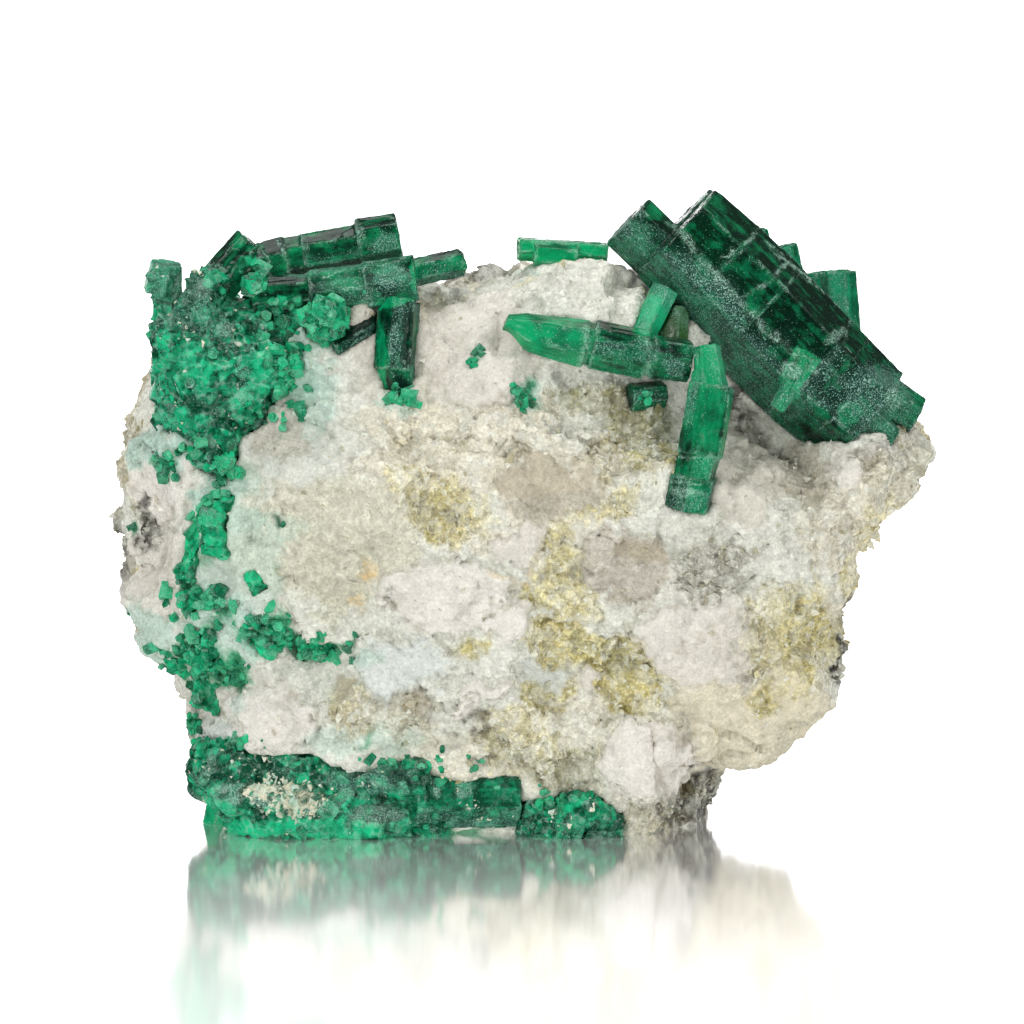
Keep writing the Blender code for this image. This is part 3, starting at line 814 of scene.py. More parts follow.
# Edges of ledges in the front: corners, height of the side to the left of the line's way, width in pixels. The
# other side gets a painted shadow along the line.
LEDGES = [
    ([(178, 588), (210, 602), (240, 617), (275, 615), (305, 625), (345, 640)], 1.0, 45),
    ([(355, 667), (390, 690), (430, 690), (455, 715)], 0.7, 30),
    ([(455, 722), (470, 702), (505, 682), (512, 660)], 0.6, 26),
    ([(760, 745), (700, 737), (640, 728), (600, 718)], 0.7, 40),
    ([(130, 455), (150, 448), (185, 455)], 0.6, 20),
    ([(600, 560), (588, 590), (600, 625), (640, 640)], 0.5, 26),
    ([(735, 452), (770, 480), (800, 500), (840, 497)], 0.6, 30),
    ([(395, 432), (430, 446), (470, 440), (520, 452)], 0.5, 28),
]


class RockFace:
    """The rock's surface: its tint, granularity and glassiness, how far it stands out, its crevices, and the
    painted shadow at the foot of its ledges.
    """

    def __init__(self, count):
        first_tint, first_sugar, first_clear = MINERALS["white"]
        self.tint = np.tile(first_tint, (count, 1))
        self.sugar = np.full(count, first_sugar)
        self.clear = np.full(count, first_clear)
        self.lift = np.zeros(count)
        self.crevice_and_ledge_shadow = np.zeros(count)

    def lay(self, mineral, part):
        """Cover part of each place with a mineral."""
        tint, sugar, clear = MINERALS[mineral]
        self.tint = self.tint + (tint - self.tint) * part[:, None]
        self.sugar = self.sugar + (sugar - self.sugar) * part
        self.clear = self.clear + (clear - self.clear) * part

    # Darken and sink places: crevices around whole blocks, and the painted shadow at the foot of a ledge.
    def crack_and_shade(self, part):
        self.crevice_and_ledge_shadow = np.maximum(self.crevice_and_ledge_shadow, part)


def bell(part):
    """0 where part is 0 or 1, and 1 half way."""
    return 4 * part * (1 - part)


def lay_ground(face, points, front):
    """The broad swells of minerals under the patches, and those of the sides and back."""
    behind = 1 - front
    face.lay("cream", 0.55 * smoothstep(0.0, 0.5, fractal(points, 14.0, 3, 2.2)))
    face.lay("grey", 0.60 * smoothstep(0.1, 0.5, fractal(points, 9.0, 3, 61.0)))
    face.lay("smooth", 0.85 * smoothstep(0.1, 0.4, fractal(points, 12.0, 2, 33.0)))
    face.lay("white", front)
    face.lay("yellow", 0.7 * behind * smoothstep(0.30, 0.6, fractal(points, 8.0, 3, 90.0)))
    face.lay("needle", 0.7 * behind * smoothstep(0.32, 0.6, fractal(points, 6.0, 3, 12.0)))


def lay_front(face, points, places, front, clumps, crumbs):
    """The patches of the front, ragged, and raised where they are whole blocks."""
    broken = smoothstep(0.18, 0.62, 0.55 * clumps[:, 0] + 0.45 * crumbs[:, 0])
    jitter = 0.50 * (clumps[:, 3] - 0.5) + 0.35 * (crumbs[:, 3] - 0.5)
    chunks = cell_noise(points, 3.4, 45)[2][:, 0] - 0.5
    for mineral, column, row, wide, high, turn, strength in FRONT_PATCHES:
        if mineral in SOLID:
            block = oval(places, column, row, wide, high, turn, 0.45)
            block = block + bell(block) * (0.55 * chunks + 0.25 * jitter)
            block = strength * front * smoothstep(0.42, 0.62, block)
            face.lift = np.maximum(face.lift, SOLID[mineral] * block)
            face.crack_and_shade(bell(block) * strength)
        soft = oval(places, column, row, wide, high, turn, 0.38)
        part = strength * front * smoothstep(0.22, 0.78, soft + bell(soft) * jitter)
        if mineral in GRAINY:
            part = part * (0.25 + 0.75 * broken)
        face.lay(mineral, part)


def lay_behind(face, points, behind):
    """The round patches of the other sides."""
    ragged = points + 2.5 * swirl(points, 5.0, 3, (3.0, 13.0, 23.0))
    for mineral, x, y, z, radius, strength in OTHER_PATCHES:
        away = np.linalg.norm(ragged - np.array([x, y, z]), axis=1)
        face.lay(mineral, strength * behind * (1 - smoothstep(0.6 * radius, 1.25 * radius, away)))


def mineral_at(points, normals):
    """The minerals at each place of the rock, with the painted shadow under its ledges and crystals."""
    face = RockFace(len(points))
    front = smoothstep(*FRONT_LEAN, -normals[:, 1]) * smoothstep(*FRONT_DEPTH, points[:, 1])
    lay_ground(face, points, front)
    places = picture_place(points)
    for amount, size in PATCH_WOBBLE:
        places = wobble(places, points, amount, size)
    clumps = cell_noise(points, 1.3, 5)[2]
    crumbs = cell_noise(points, 0.62, 25)[2]
    lay_front(face, points, places, front, clumps, crumbs)
    lay_behind(face, points, 1 - front)
    loose = smoothstep(0.55, 0.9, face.sugar)
    pale = smoothstep(0.60, 0.85, 0.5 * clumps[:, 1] + 0.5 * crumbs[:, 1])
    face.tint = face.tint + (MINERALS["white"][0] - face.tint) * (0.75 * pale * loose)[:, None]
    face.tint = face.tint * (1 - 0.22 * loose * smoothstep(0.72, 0.95, clumps[:, 2]))[:, None]
    for corners, high, wide in LEDGES:
        distance, is_left = line_distance(places, corners)
        face.lift = face.lift + high * front * is_left * (1 - smoothstep(0, wide, distance))
        # painted shadow: a dark strip along the low side of each ledge
        face.crack_and_shade(front * ~is_left * (1 - smoothstep(0.5, 4.0, distance)))
    return face


# ================================================================ the rock
ROCK_VOXEL = 0.36
ROCK_SWELL = 0.12
ROCK_GRIP = 0.55  # how far the rock closes in on the crystals that it holds
ROCK_DEEPEST = -1.5
ROCK_HIGHEST = 1.2
ROCK_TRIANGLES = 190000
ROCK_FOOT = (0.15, 1.6)  # heights between which the relief fades in above the flat foot
ROCK_NEAR = (0.5, 1.7)  # millimetres from the crystals between which the rock stops closing in on them

# Broken blocks of three sizes: flattening in height, size, step, lean and random shift, how much they show in
# smooth rock and how much more in sugary rock, and their joints' depth, part in smooth rock and darkness.
ROCK_BLOCKS = [
    (1.6, 7.5, 1.0, 0.26, 0, 0.50, 0.35, 0.0, 0.0, 0.0),
    (1.35, 2.9, 0.50, 0.34, 40, 0.38, 0.60, 0.12, 0.3, 0.5),
    (1.0, 1.25, 0.34, 0.40, 80, 0.22, 0.66, 0.10, 0.2, 0.6),
]
SEAM_TINT = np.array([0.70, 0.68, 0.60])  # what the rock's colour keeps in a joint, in a crevice and in the painted shadow at a ledge's foot


def blocks(points, size, step, tilt, shift=0):
    """Height of broken cleavage blocks, and how near a place is to the joint between two of them."""
    first, second, values, lean = cell_noise(points, size, shift)
    height = (values[:, 3] - 0.5) * step + ((values[:, :3] - 0.5) * lean).sum(1) * size * tilt
    return height, 1 - smoothstep(0.0, 0.16, second - first)


def crystal_trees(reach):
    """Search trees of the CAD's crystals, each with the corners of its box grown by reach millimetres."""
    for name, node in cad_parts.items():
        if name != "calcite_matrix":
            corners = [vertex.co / MM for vertex in node.data.vertices]
            low = [min(corner[axis] for corner in corners) - reach for axis in range(3)]
            high = [max(corner[axis] for corner in corners) + reach for axis in range(3)]
            faces = [list(face.vertices) for face in node.data.polygons]
            yield low, high, BVHTree.FromPolygons(corners, faces)


def distance_to_crystals(points, reach=2.0):
    """Distance of each place from the nearest crystal, up to reach millimetres."""
    distances = np.full(len(points), reach)
    for low, high, tree in crystal_trees(reach):
        inside = np.all((points > low) & (points < high), axis=1)
        for index in np.flatnonzero(inside):
            found = tree.find_nearest(points[index], distances[index])
            if found[0] is not None:
                distances[index] = found[3]
    return distances


def make_rock():
    """The block of calcite: broken into blocks of three sizes, tinted by its minerals, and darkened with
    painted shadow under its ledges and crystals.
    """
    piece = voxel_copy("calcite_matrix", "calcite_rock", ROCK_VOXEL)
    mesh = piece.data
    points = mesh_points(mesh)
    normals = mesh_normals(mesh)
    face = mineral_at(points, normals)
    sugar = face.sugar
    bent = points + 0.8 * swirl(points, 4.0, 3, (7.0, 27.0, 47.0))
    height = np.full(len(points), ROCK_SWELL)
    joint = np.zeros(len(points))
    for flattening, size, step, lean, shift, smooth, sugary, depth, part, dark in ROCK_BLOCKS:
        block, block_joint = blocks(bent * (1.0, 1.0, flattening), size, step, lean, shift)
        height += block * (smooth + sugary * sugar) - depth * block_joint * (part + (1 - part) * sugar)
        joint = np.maximum(joint, block_joint * dark)
    height += 0.45 * fractal(points, 5.0, 4, 8.0) + 0.16 * fractal(points, 1.6, 3, 18.0) * (0.5 + 0.5 * sugar)
    height += face.lift - 0.15 - 0.20 * face.crevice_and_ledge_shadow
    height *= smoothstep(*ROCK_FOOT, points[:, 2])
    near = 1 - smoothstep(*ROCK_NEAR, distance_to_crystals(points))
    height = height * (1 - 0.7 * near) + ROCK_GRIP * near
    moved = points + normals * np.clip(height, ROCK_DEEPEST, ROCK_HIGHEST)[:, None]
    moved[:, 2] = np.maximum(moved[:, 2], 0.0)
    set_points(mesh, moved)
    joint = joint * smoothstep(0.25, 0.9, sugar)
    tint = face.tint * (1 - joint[:, None] * (1 - SEAM_TINT))
    # darker in crevices, and in the painted shadow at the foot of each ledge
    tint = tint * (1 - 0.8 * face.crevice_and_ledge_shadow[:, None] * (1 - SEAM_TINT))
    add_colour(mesh, "tint", np.clip(tint, 0, 1))
    add_value(mesh, "sugar", sugar)
    add_value(mesh, "clear", face.clear)
    thin_out(piece, ROCK_TRIANGLES)
    piece.data.materials.append(CALCITE)
    shade_smooth(piece.data)
    return finish_piece(piece, "calcite", "calcite_matrix")


# ================================================================ the crystals
PRISM_SIDES = 6
CRYSTAL_DEEPEST = -0.8  # how far the relief may go in and out, in millimetres
CRYSTAL_HIGHEST = 0.75
JOINT_EDGE = (0.08, 0.50)  # millimetres from a healed joint between which it fades out
PRISM_EDGE = (0.35, 0.9)  # millimetres from the segments between which a crystal turns granular
RIM_EDGE = (0.06, 0.30)  # millimetres from an edge between which its wear fades out
ETCHED_VALUE = 0.6  # a face is etched if its random value is above this


def unit(vector):
    return vector / np.linalg.norm(vector)


class Segment:
    """One six-sided length of a crystal, with its own axes.

    tip is the radius at its end, and flat its thickness from front to back, both as parts of the radius.
    """

    def __init__(self, start, end, radius, roll=0.0, tip=1.0, flat=1.0):
        self.start = np.array(start, float)
        self.end = np.array(end, float)
        self.radius = radius
        self.tip = tip
        self.flat = flat
        self.axis = unit(self.end - self.start)
        self.length = np.linalg.norm(self.end - self.start)
        front = np.array([0.0, -1.0, 0.0])
        self.across = unit(np.cross(front, self.axis))
        self.facing = unit(np.cross(self.axis, self.across))
        self.roll = math.radians(roll)

    def measure(self, points):
        """Place along, distance outside the nearest face, its number, place across it, distance to its rim.

        An end counts as a face, numbered PRISM_SIDES.
        """
        local = points - self.start
        along = local @ self.axis
        east = local @ self.facing / self.flat
        north = local @ self.across
        share = np.clip(along / self.length, 0, 1)
        inner = self.radius * (1 + (self.tip - 1) * share) * math.cos(math.pi / PRISM_SIDES)
        outs = []
        rights = []
        for side in range(PRISM_SIDES):
            angle = self.roll + math.radians(360 / PRISM_SIDES * side)
            outs.append(east * math.cos(angle) + north * math.sin(angle) - inner)
            rights.append(north * math.cos(angle) - east * math.sin(angle))
        outs = np.stack(outs, 1)
        rights = np.stack(rights, 1)
        face = outs.argmax(1)
        rows = np.arange(len(points))
        out = outs[rows, face]
        ordered = np.sort(outs, axis=1)
        ends = np.maximum(-along, along - self.length)
        outside = np.maximum(out, ends)
        is_end = ends > out
        rim = np.where(is_end, ends - out, np.minimum(ordered[:, -1] - ordered[:, -2], out - ends))
        return along, outside, np.where(is_end, PRISM_SIDES, face), rights[rows, face], rim


# Marks on the crystals, as seen in the front: what, column, row, half width, half height, turn, strength.
CRYSTAL_MARKS = [
    ("frost", 633, 240, 22, 26, -38, 0.9),
    ("frost", 655, 262, 18, 40, -45, 0.6),
    ("frost", 700, 300, 34, 62, -45, 0.9),
    ("frost", 745, 370, 34, 50, -40, 0.8),
    ("frost", 790, 395, 30, 30, 0, 0.7),
    ("clear", 658, 214, 14, 12, 0, 0.9),
    ("clear", 700, 240, 16, 46, -45, 0.8),
    ("clear", 757, 262, 18, 24, -50, 1.0),
    ("clear", 800, 305, 24, 44, -52, 1.0),
    ("clear", 860, 345, 18, 14, 40, 0.7),
    ("clear", 520, 338, 18, 18, 10, 0.9),
    ("clear", 560, 338, 26, 8, 10, 0.7),
    ("clear", 706, 415, 14, 34, 5, 0.7),
    ("glow", 714, 208, 10, 22, -45, 0.25),
    ("glow", 736, 232, 8, 20, -45, 0.20),
    ("glow", 655, 210, 10, 10, 0, 0.5),
    ("frost", 880, 400, 40, 36, 30, 0.9),
    ("heal", 895, 399, 9, 11, 0, 0.9),
    ("heal", 791, 371, 10, 9, 0, 0.9),
    ("heal", 836, 336, 13, 5, -35, 0.7),
    ("glow", 850, 414, 12, 12, 0, 0.6),
    ("glow", 240, 240, 10, 5, -40, 0.5),
    ("clear", 236, 250, 16, 12, -40, 0.8),
    ("frost", 330, 268, 44, 7, -8, 0.9),
    ("frost", 386, 246, 16, 13, 0, 1.0),
    ("clear", 377, 220, 16, 8, -10, 0.8),
    ("clear", 290, 290, 26, 8, -5, 0.9),
    ("frost", 340, 290, 28, 12, -8, 0.7),
    ("frost", 391, 279, 20, 14, -8, 1.0),
    ("glow", 395, 302, 22, 6, -12, 1.0),
    ("glow", 414, 276, 4, 16, 0, 0.8),
    ("heal", 366, 305, 6, 5, 0, 0.6),
    ("frost", 440, 268, 24, 6, -15, 0.6),
    ("glow", 383, 360, 4, 36, 0, 0.7),
    ("frost", 395, 342, 6, 20, 4, 1.0),
    ("clear", 410, 340, 6, 28, 4, 0.9),
    ("heal", 398, 404, 9, 7, 0, 0.7),
    ("glow", 634, 250, 18, 16, -38, 0.35),
    ("heal", 684, 492, 16, 5, 5, 0.8),
    ("frost", 690, 500, 22, 12, 0, 0.8),
    ("glow", 690, 470, 18, 10, 0, 0.35),
    ("clear", 335, 243, 34, 10, -9, 0.9),
    ("clear", 270, 262, 26, 14, 0, 0.7),
    # painted highlight: this frost mark stands for a grey glint on a thin prism
    ("frost", 357, 341, 9, 3, -35, 1.0),
    ("glow", 520, 334, 20, 16, 0, 1.0),
    ("glow", 548, 344, 22, 14, 10, 0.7),
    ("frost", 564, 345, 10, 8, 10, 0.8),
    ("clear", 612, 335, 22, 8, 10, 0.8),
    ("frost", 614, 360, 22, 9, 10, 0.5),
    ("clear", 672, 348, 16, 6, 5, 0.8),
    ("frost", 673, 368, 14, 9, 30, 1.0),
    ("glow", 650, 315, 16, 24, 30, 1.0),
    ("heal", 646, 328, 6, 7, 20, 0.6),
    ("glow", 709, 366, 16, 14, 0, 1.0),
    ("glow", 706, 415, 18, 34, 5, 0.55),
    ("frost", 690, 402, 9, 26, 10, 0.8),
    ("glow", 700, 440, 16, 12, 0, 0.4),
    ("glow", 553, 255, 5, 5, 0, 1.0),
    ("heal", 560, 240, 30, 3, 0, 0.5),
    ("frost", 645, 395, 10, 6, 0, 0.7),
    ("glow", 170, 262, 16, 10, 0, 0.4),
    ("frost", 168, 290, 24, 42, 0, 0.8),
    ("frost", 202, 300, 28, 36, 0, 0.7),
    ("heal", 176, 300, 5, 27, 12, 1.0),
    ("heal", 290, 800, 42, 13, 10, 0.9),
    ("heal", 202, 292, 9, 7, 30, 0.7),
    ("glow", 270, 372, 22, 26, 0, 1.0),
    ("dark", 220, 446, 20, 26, 0, 0.7),
    ("dark", 228, 764, 52, 18, 0, 0.7),
    ("dark", 385, 766, 50, 12, 0, 0.7),
    ("dark", 470, 792, 46, 28, 0, 0.55),
    ("dark", 250, 335, 30, 16, 0, 0.3),
    ("dark", 330, 250, 36, 8, -9, 0.8),
    ("dark", 285, 290, 36, 8, -5, 0.7),
    ("dark", 228, 252, 22, 18, 0, 0.7),
    ("dark", 600, 332, 32, 8, 10, 0.3),
    ("dark", 688, 430, 8, 40, 8, 0.5),
    ("dark", 676, 358, 22, 20, 0, 0.6),
    ("glow", 185, 372, 34, 26, 0, 0.8),
    ("glow", 225, 400, 26, 14, 0, 0.7),
    ("glow", 160, 420, 16, 12, 0, 0.7),
    ("clear", 240, 330, 18, 26, 0, 0.6),
    ("glow", 185, 420, 26, 14, 0, 0.5),
    ("glow", 325, 318, 20, 18, 0, 0.9),
    ("clear", 230, 760, 44, 20, 0, 0.7),
    ("frost", 370, 778, 50, 20, 0, 1.0),
    ("glow", 300, 828, 110, 10, 0, 1.0),
    ("heal", 378, 816, 28, 10, 0, 0.8),
    ("heal", 438, 787, 4, 10, 0, 0.9),
    ("heal", 465, 788, 10, 9, 0, 0.6),
    ("glow", 437, 759, 13, 7, 0, 1.0),
    ("clear", 470, 800, 46, 18, 0, 0.5),
    ("glow", 560, 815, 40, 12, 20, 0.35),
    ("glow", 214, 806, 12, 20, 0, 1.0),
    ("heal", 232, 792, 16, 9, 0, 0.9),
]

# Healed cracks and worn edges, as lines seen in the front: corners, half width, strength.
CRYSTAL_LINES = [
    ([(672, 221), (700, 258), (734, 297), (765, 330), (815, 372)], 5.5, 0.85),
    ([(721, 258), (742, 246), (760, 232)], 2.5, 0.9),
    ([(745, 297), (770, 280), (789, 262)], 3.0, 1.0),
    ([(765, 240), (795, 267), (835, 296), (882, 336)], 3.6, 0.95),
    ([(882, 336), (905, 368), (920, 388)], 2.4, 0.7),
    ([(697, 200), (722, 228), (760, 268)], 1.1, 0.5),
    ([(614, 246), (645, 272)], 1.2, 0.7),
    ([(634, 210), (655, 232)], 1.0, 0.6),
    ([(820, 430), (846, 405), (880, 372)], 2.2, 0.6),
    ([(232, 271), (245, 258), (256, 245)], 1.5, 0.9),
    ([(205, 262), (225, 270)], 2.5, 0.8),
    ([(262, 246), (272, 278)], 2.5, 0.9),
    ([(277, 239), (284, 256)], 2.0, 0.9),
    ([(305, 239), (309, 255)], 2.0, 0.8),
    ([(360, 227), (367, 250)], 3.0, 0.8),
    ([(314, 279), (360, 270), (408, 259)], 1.5, 0.8),
    ([(369, 262), (372, 300)], 1.8, 0.7),
    ([(400, 361), (414, 368)], 1.2, 0.9),
    ([(585, 328), (582, 368)], 5.0, 0.75),
    ([(648, 342), (646, 378)], 4.5, 0.85),
    ([(592, 337), (642, 349)], 0.9, 0.4),
    ([(672, 456), (722, 459)], 2.5, 0.8),
    ([(664, 481), (716, 485)], 2.5, 0.8),
    ([(694, 352), (698, 385), (690, 400)], 2.0, 0.6),
    ([(320, 800), (360, 812), (405, 800)], 2.0, 0.5),
    ([(424, 775), (426, 820)], 2.0, 0.5),
]


def crystal_marks(points, normals):
    """How much each mark covers each place."""
    facing = smoothstep(-0.15, 0.2, -normals[:, 1] + 0.25 * normals[:, 2])
    places = wobble(picture_place(points), points, 2.6, 1.3)
    marks = {kind: np.zeros(len(points)) for kind in ("frost", "clear", "glow", "dark", "heal")}
    for kind, column, row, wide, high, turn, strength in CRYSTAL_MARKS:
        part = strength * facing * oval(places, column, row, wide, high, turn, 0.3)
        marks[kind] = np.maximum(marks[kind], part)
    ragged = wobble(picture_place(points), points, 3.2, 1.1)
    broken = 0.25 + 0.75 * smoothstep(-0.3, 0.25, fractal(points, 1.3, 3, 66.0))
    for corners, width, strength in CRYSTAL_LINES:
        part = 1 - smoothstep(0.35 * width, 1.1 * width, line_distance(ragged, corners)[0])
        marks["heal"] = np.maximum(marks["heal"], strength * facing * part * broken)
    return marks


GROWN_ON = 0.4  # how far outside another segment an end may lie, and still count as grown on to it


def is_grown_on(place, segments, own):
    """Whether an end of a segment lies in another one."""
    return any(other is not own and other.measure(place[None])[1][0] < GROWN_ON for other in segments)


def even_out(points, segments, radii):
    """Turn the stepped lengths of a crystal into one prism of slowly changing radius."""
    corners = np.array([segments[0].start, *[(a.end + b.start) / 2 for a, b in zip(segments, segments[1:])],
                        segments[-1].end])
    whole = Segment(corners[0], corners[-1], 1.0, math.degrees(segments[1].roll))
    places = (corners - whole.start) @ whole.axis
    along = (points - whole.start) @ whole.axis
    middle = np.stack([np.interp(along, places, corners[:, axis]) for axis in range(3)], 1)
    shifted = points - middle
    shifted -= (shifted @ whole.axis)[:, None] * whole.axis
    reach = whole.measure(whole.start + shifted + whole.axis * whole.length / 2)[1]
    inner = math.cos(math.pi / PRISM_SIDES)
    wanted = np.interp(along, places, radii) * inner
    return middle, shifted, np.maximum(reach + inner, 0.1), wanted, along, whole.length


class Layout:
    """Where each place of a crystal lies on its segments, and random values for each face of each segment."""

    def __init__(self, points, segments, shift):
        count = len(points)
        self.nearest = np.full(count, np.inf)
        self.along = self.face = self.across = self.rim = self.which = self.heal = np.zeros(count)
        for index, segment in enumerate(segments):
            along, outside, face, across, rim = segment.measure(points)
            closer = np.abs(outside) < self.nearest
            self.nearest = np.where(closer, np.abs(outside), self.nearest)
            heal = np.zeros(count)
            ragged = along + 0.35 * fractal(points, 1.4, 2, 9.0)
            for end, reach in ((segment.start, ragged), (segment.end, ragged - segment.length)):
                if is_grown_on(end, segments, segment):
                    heal = np.maximum(heal, 1 - smoothstep(*JOINT_EDGE, np.abs(reach)))
            self.along = np.where(closer, along, self.along)
            self.face = np.where(closer, face, self.face)
            self.across = np.where(closer, across, self.across)
            self.rim = np.where(closer, rim, self.rim)
            self.which = np.where(closer, index, self.which)
            self.heal = np.where(closer, heal, self.heal)
        self.prism = 1 - smoothstep(*PRISM_EDGE, self.nearest)
        self.flat = (self.face < PRISM_SIDES) * self.prism
        self.code = (self.which * 7 + self.face).astype(int) + shift
        self.face_values = _values[_order[self.code & 255]]

    def striped(self, per_across, per_along, shifts):
        """Places drawn out along the crystal, different on each face."""
        across = self.across * per_across + self.code * shifts[0]
        return np.stack([across, self.along * per_along, self.code * shifts[1]], 1)


def make_even(mesh, points, segments, number, radii):
    """Smooth the first segments of a crystal into one prism."""
    middle, out, reach, wanted, run, length = even_out(points, segments[:number], radii)
    closest = np.argmin([np.abs(segment.measure(points)[1]) for segment in segments], 0)
    ends = smoothstep(0.0, 1.2, run) * smoothstep(length, length - 1.2, run)
    part = (closest < number) * ends * (reach > 0.75 * wanted)
    points = points + out * ((wanted / reach - 1) * part)[:, None]
    set_points(mesh, points)
    return points


def granular(points):
    """Lumps of two sizes: their height, brightness with painted shade in the valleys between them, frost, and
    the healed joints and crumbs between them.
    """
    warped = points + 0.5 * swirl(points, 2.0, 2, (5.0, 15.0, 25.0))
    large, large_joint = blocks(warped, 3.2, 0.9, 0.55, 21)
    small, small_joint = blocks(warped, 1.5, 0.35, 0.50, 51)
    values = cell_noise(warped, 3.2, 21)[2]
    small_values = cell_noise(warped, 1.5, 51)[2]
    height = large + small + 0.45 * fractal(points, 3.4, 2, 55.0)
    bright = 0.6 * (values[:, 0] - 0.5) + 0.4 * (small_values[:, 0] - 0.5)
    # painted shade: lumps drawn darker at the joints between them, in the valleys
    bright = bright - 0.16 * large_joint - 0.08 * small_joint
    frost = 0.6 * (values[:, 1] - 0.5)
    healed = 0.5 * small_joint * smoothstep(0.1, 0.6, fractal(points, 2.4, 3, 81.0))
    crumbs = smoothstep(0.88, 0.97, small_values[:, 2]) * 0.6
    return height, bright, frost, np.maximum(healed, crumbs)


def upward(normals):
    """1 on the faces that look up, 0 on the others."""
    return 1 - smoothstep(0.75, 0.25, normals[:, 2])


def etching(on, points, normals, amount):
    """How frosted each place is, apart from its marks: more below, on some faces, and in clouds."""
    down = smoothstep(0.5, -0.6, normals[:, 2])
    faces = 0.55 * (on.face_values[:, 0] > ETCHED_VALUE) * on.prism * (1 - upward(normals))
    frost = amount * (0.3 + 0.9 * down) + faces
    return frost - 0.1 - 0.25 * upward(normals) * on.prism + 0.30 * fractal(points, 2.6, 3, 4.0)


def brightness(on, points, normals, amount, glow_of):
    """How bright each place is, apart from its marks: uneven by face and in clouds, and darker on top as
    painted shade.
    """
    bright = amount + 0.34 * (on.face_values[:, 1] - 0.5) + 0.20 * fractal(points, 3.0, 2, 14.0)
    # painted shade: faces that look up are drawn darker
    bright = bright - 0.12 * upward(normals) * on.prism
    if glow_of:
        bright = bright + on.prism * np.array(glow_of)[on.which.astype(int)]
    return bright


def relief(on, points, stripes, striae, frost, heal):
    """How far each place stands out: stripes and steps on faces, pits where etched, crumbs where healed."""
    steps, step_joint = blocks(on.striped(0.55, 0.20, (5.7, 2.3)), 1.0, 0.16, 0.0, 11)
    height = on.flat * striae * (0.03 * fractal(stripes, 1.0, 3) + 0.6 * steps - 0.03 * step_joint)
    height += on.prism * (1 - on.flat) * 0.10 * fractal(points, 0.9, 3, 31.0)
    height += frost * 0.05 * fractal(points, 0.7, 2, 51.0)
    height += 0.16 * heal * fractal(points, 0.8, 2, 61.0)
    return height


def grow(node, shade, segments, voxel=0.2, frost=0.35, glow=0.25, lumps=0.0, glow_of=(), bands=0.8, even=None,
         striae=1.0):
    """Dress a crystal: striped and stepped along its length, etched, healed, granular outside its segments.

    frost, glow and lumps say how etched, bright and granular it is, glow_of how much brighter each segment.
    bands says how clear the healed joints are, even which segments make one prism, striae how high its steps.
    """
    piece = voxel_copy(node, node + "_crystal", voxel)
    mesh = piece.data
    points = mesh_points(mesh)
    if even:
        points = make_even(mesh, points, segments, *even)
    normals = mesh_normals(mesh)
    on = Layout(points, segments, len(node))
    prism = on.prism
    marks = crystal_marks(points, normals)
    frost = np.maximum(etching(on, points, normals, frost), marks["frost"])
    frost = np.clip(frost * (1 - 0.9 * marks["clear"]), 0, 1)
    bright = brightness(on, points, normals, glow, glow_of)
    heal = on.heal * prism * bands * (0.3 + 0.7 * smoothstep(-0.25, 0.3, fractal(points, 1.2, 2, 36.0)))
    worn = (1 - smoothstep(*RIM_EDGE, on.rim)) * prism * smoothstep(0.0, 0.4, fractal(points, 1.6, 3, 71.0))
    stripes = on.striped(1.7, 0.10, (3.1, 1.7))
    height = relief(on, points, stripes, striae, frost, heal)
    if lumps:
        rough = (1 - prism) * lumps
        lump_height, lump_bright, lump_frost, lump_heal = granular(points)
        height += rough * lump_height
        bright += rough * lump_bright
        frost = np.clip(frost + rough * lump_frost, 0, 1)
        heal = np.maximum(heal, rough * lump_heal)
    heal = np.maximum(np.maximum(heal, marks["heal"]), 0.7 * worn)
    bright = np.clip(np.maximum(bright * (1 - marks["dark"]), marks["glow"]), 0, 1)
    moved = points + normals * np.clip(height, CRYSTAL_DEEPEST, CRYSTAL_HIGHEST)[:, None]
    moved[:, 2] = np.maximum(moved[:, 2], FLOOR_GAP)
    set_points(mesh, moved)
    add_value(mesh, "frost", frost)
    add_value(mesh, "glow", bright)
    add_value(mesh, "heal", np.clip(heal, 0, 1))
    add_value(mesh, "rugged", (1 - 0.65 * prism) * lumps)
    add_vector(mesh, "along", np.where(on.flat[:, None] > 0.5, stripes, points * 0.9))
    mesh.materials.append(shade)
    shade_smooth(mesh)
    return finish_piece(piece, SLOT_OF[shade.name], node)


def chain(*rows):
    """Segments from rows of start, end, radius, roll and, where it tapers, tip."""
    return [Segment(*row) for row in rows]


TIP_SLOPE = 0.2
TIP_HEIGHT = 0.50  # height and thickness that are left at the broken tip
TIP_THICKNESS = 0.70


def break_tip(piece, tip, length, high, deep):
    """Shape a crystal's blunt end, along X, to a slanting broken point at its upper edge."""
    points = mesh_points(piece.data)
    run = points[:, 0] - tip
    share = smoothstep(0, length, run)
    top = high - TIP_SLOPE * run
    points[:, 2] = top - (top - points[:, 2]) * (TIP_HEIGHT + (1 - TIP_HEIGHT) * share)
    points[:, 1] = deep + (points[:, 1] - deep) * (TIP_THICKNESS + (1 - TIP_THICKNESS) * share)
    set_points(piece.data, points)


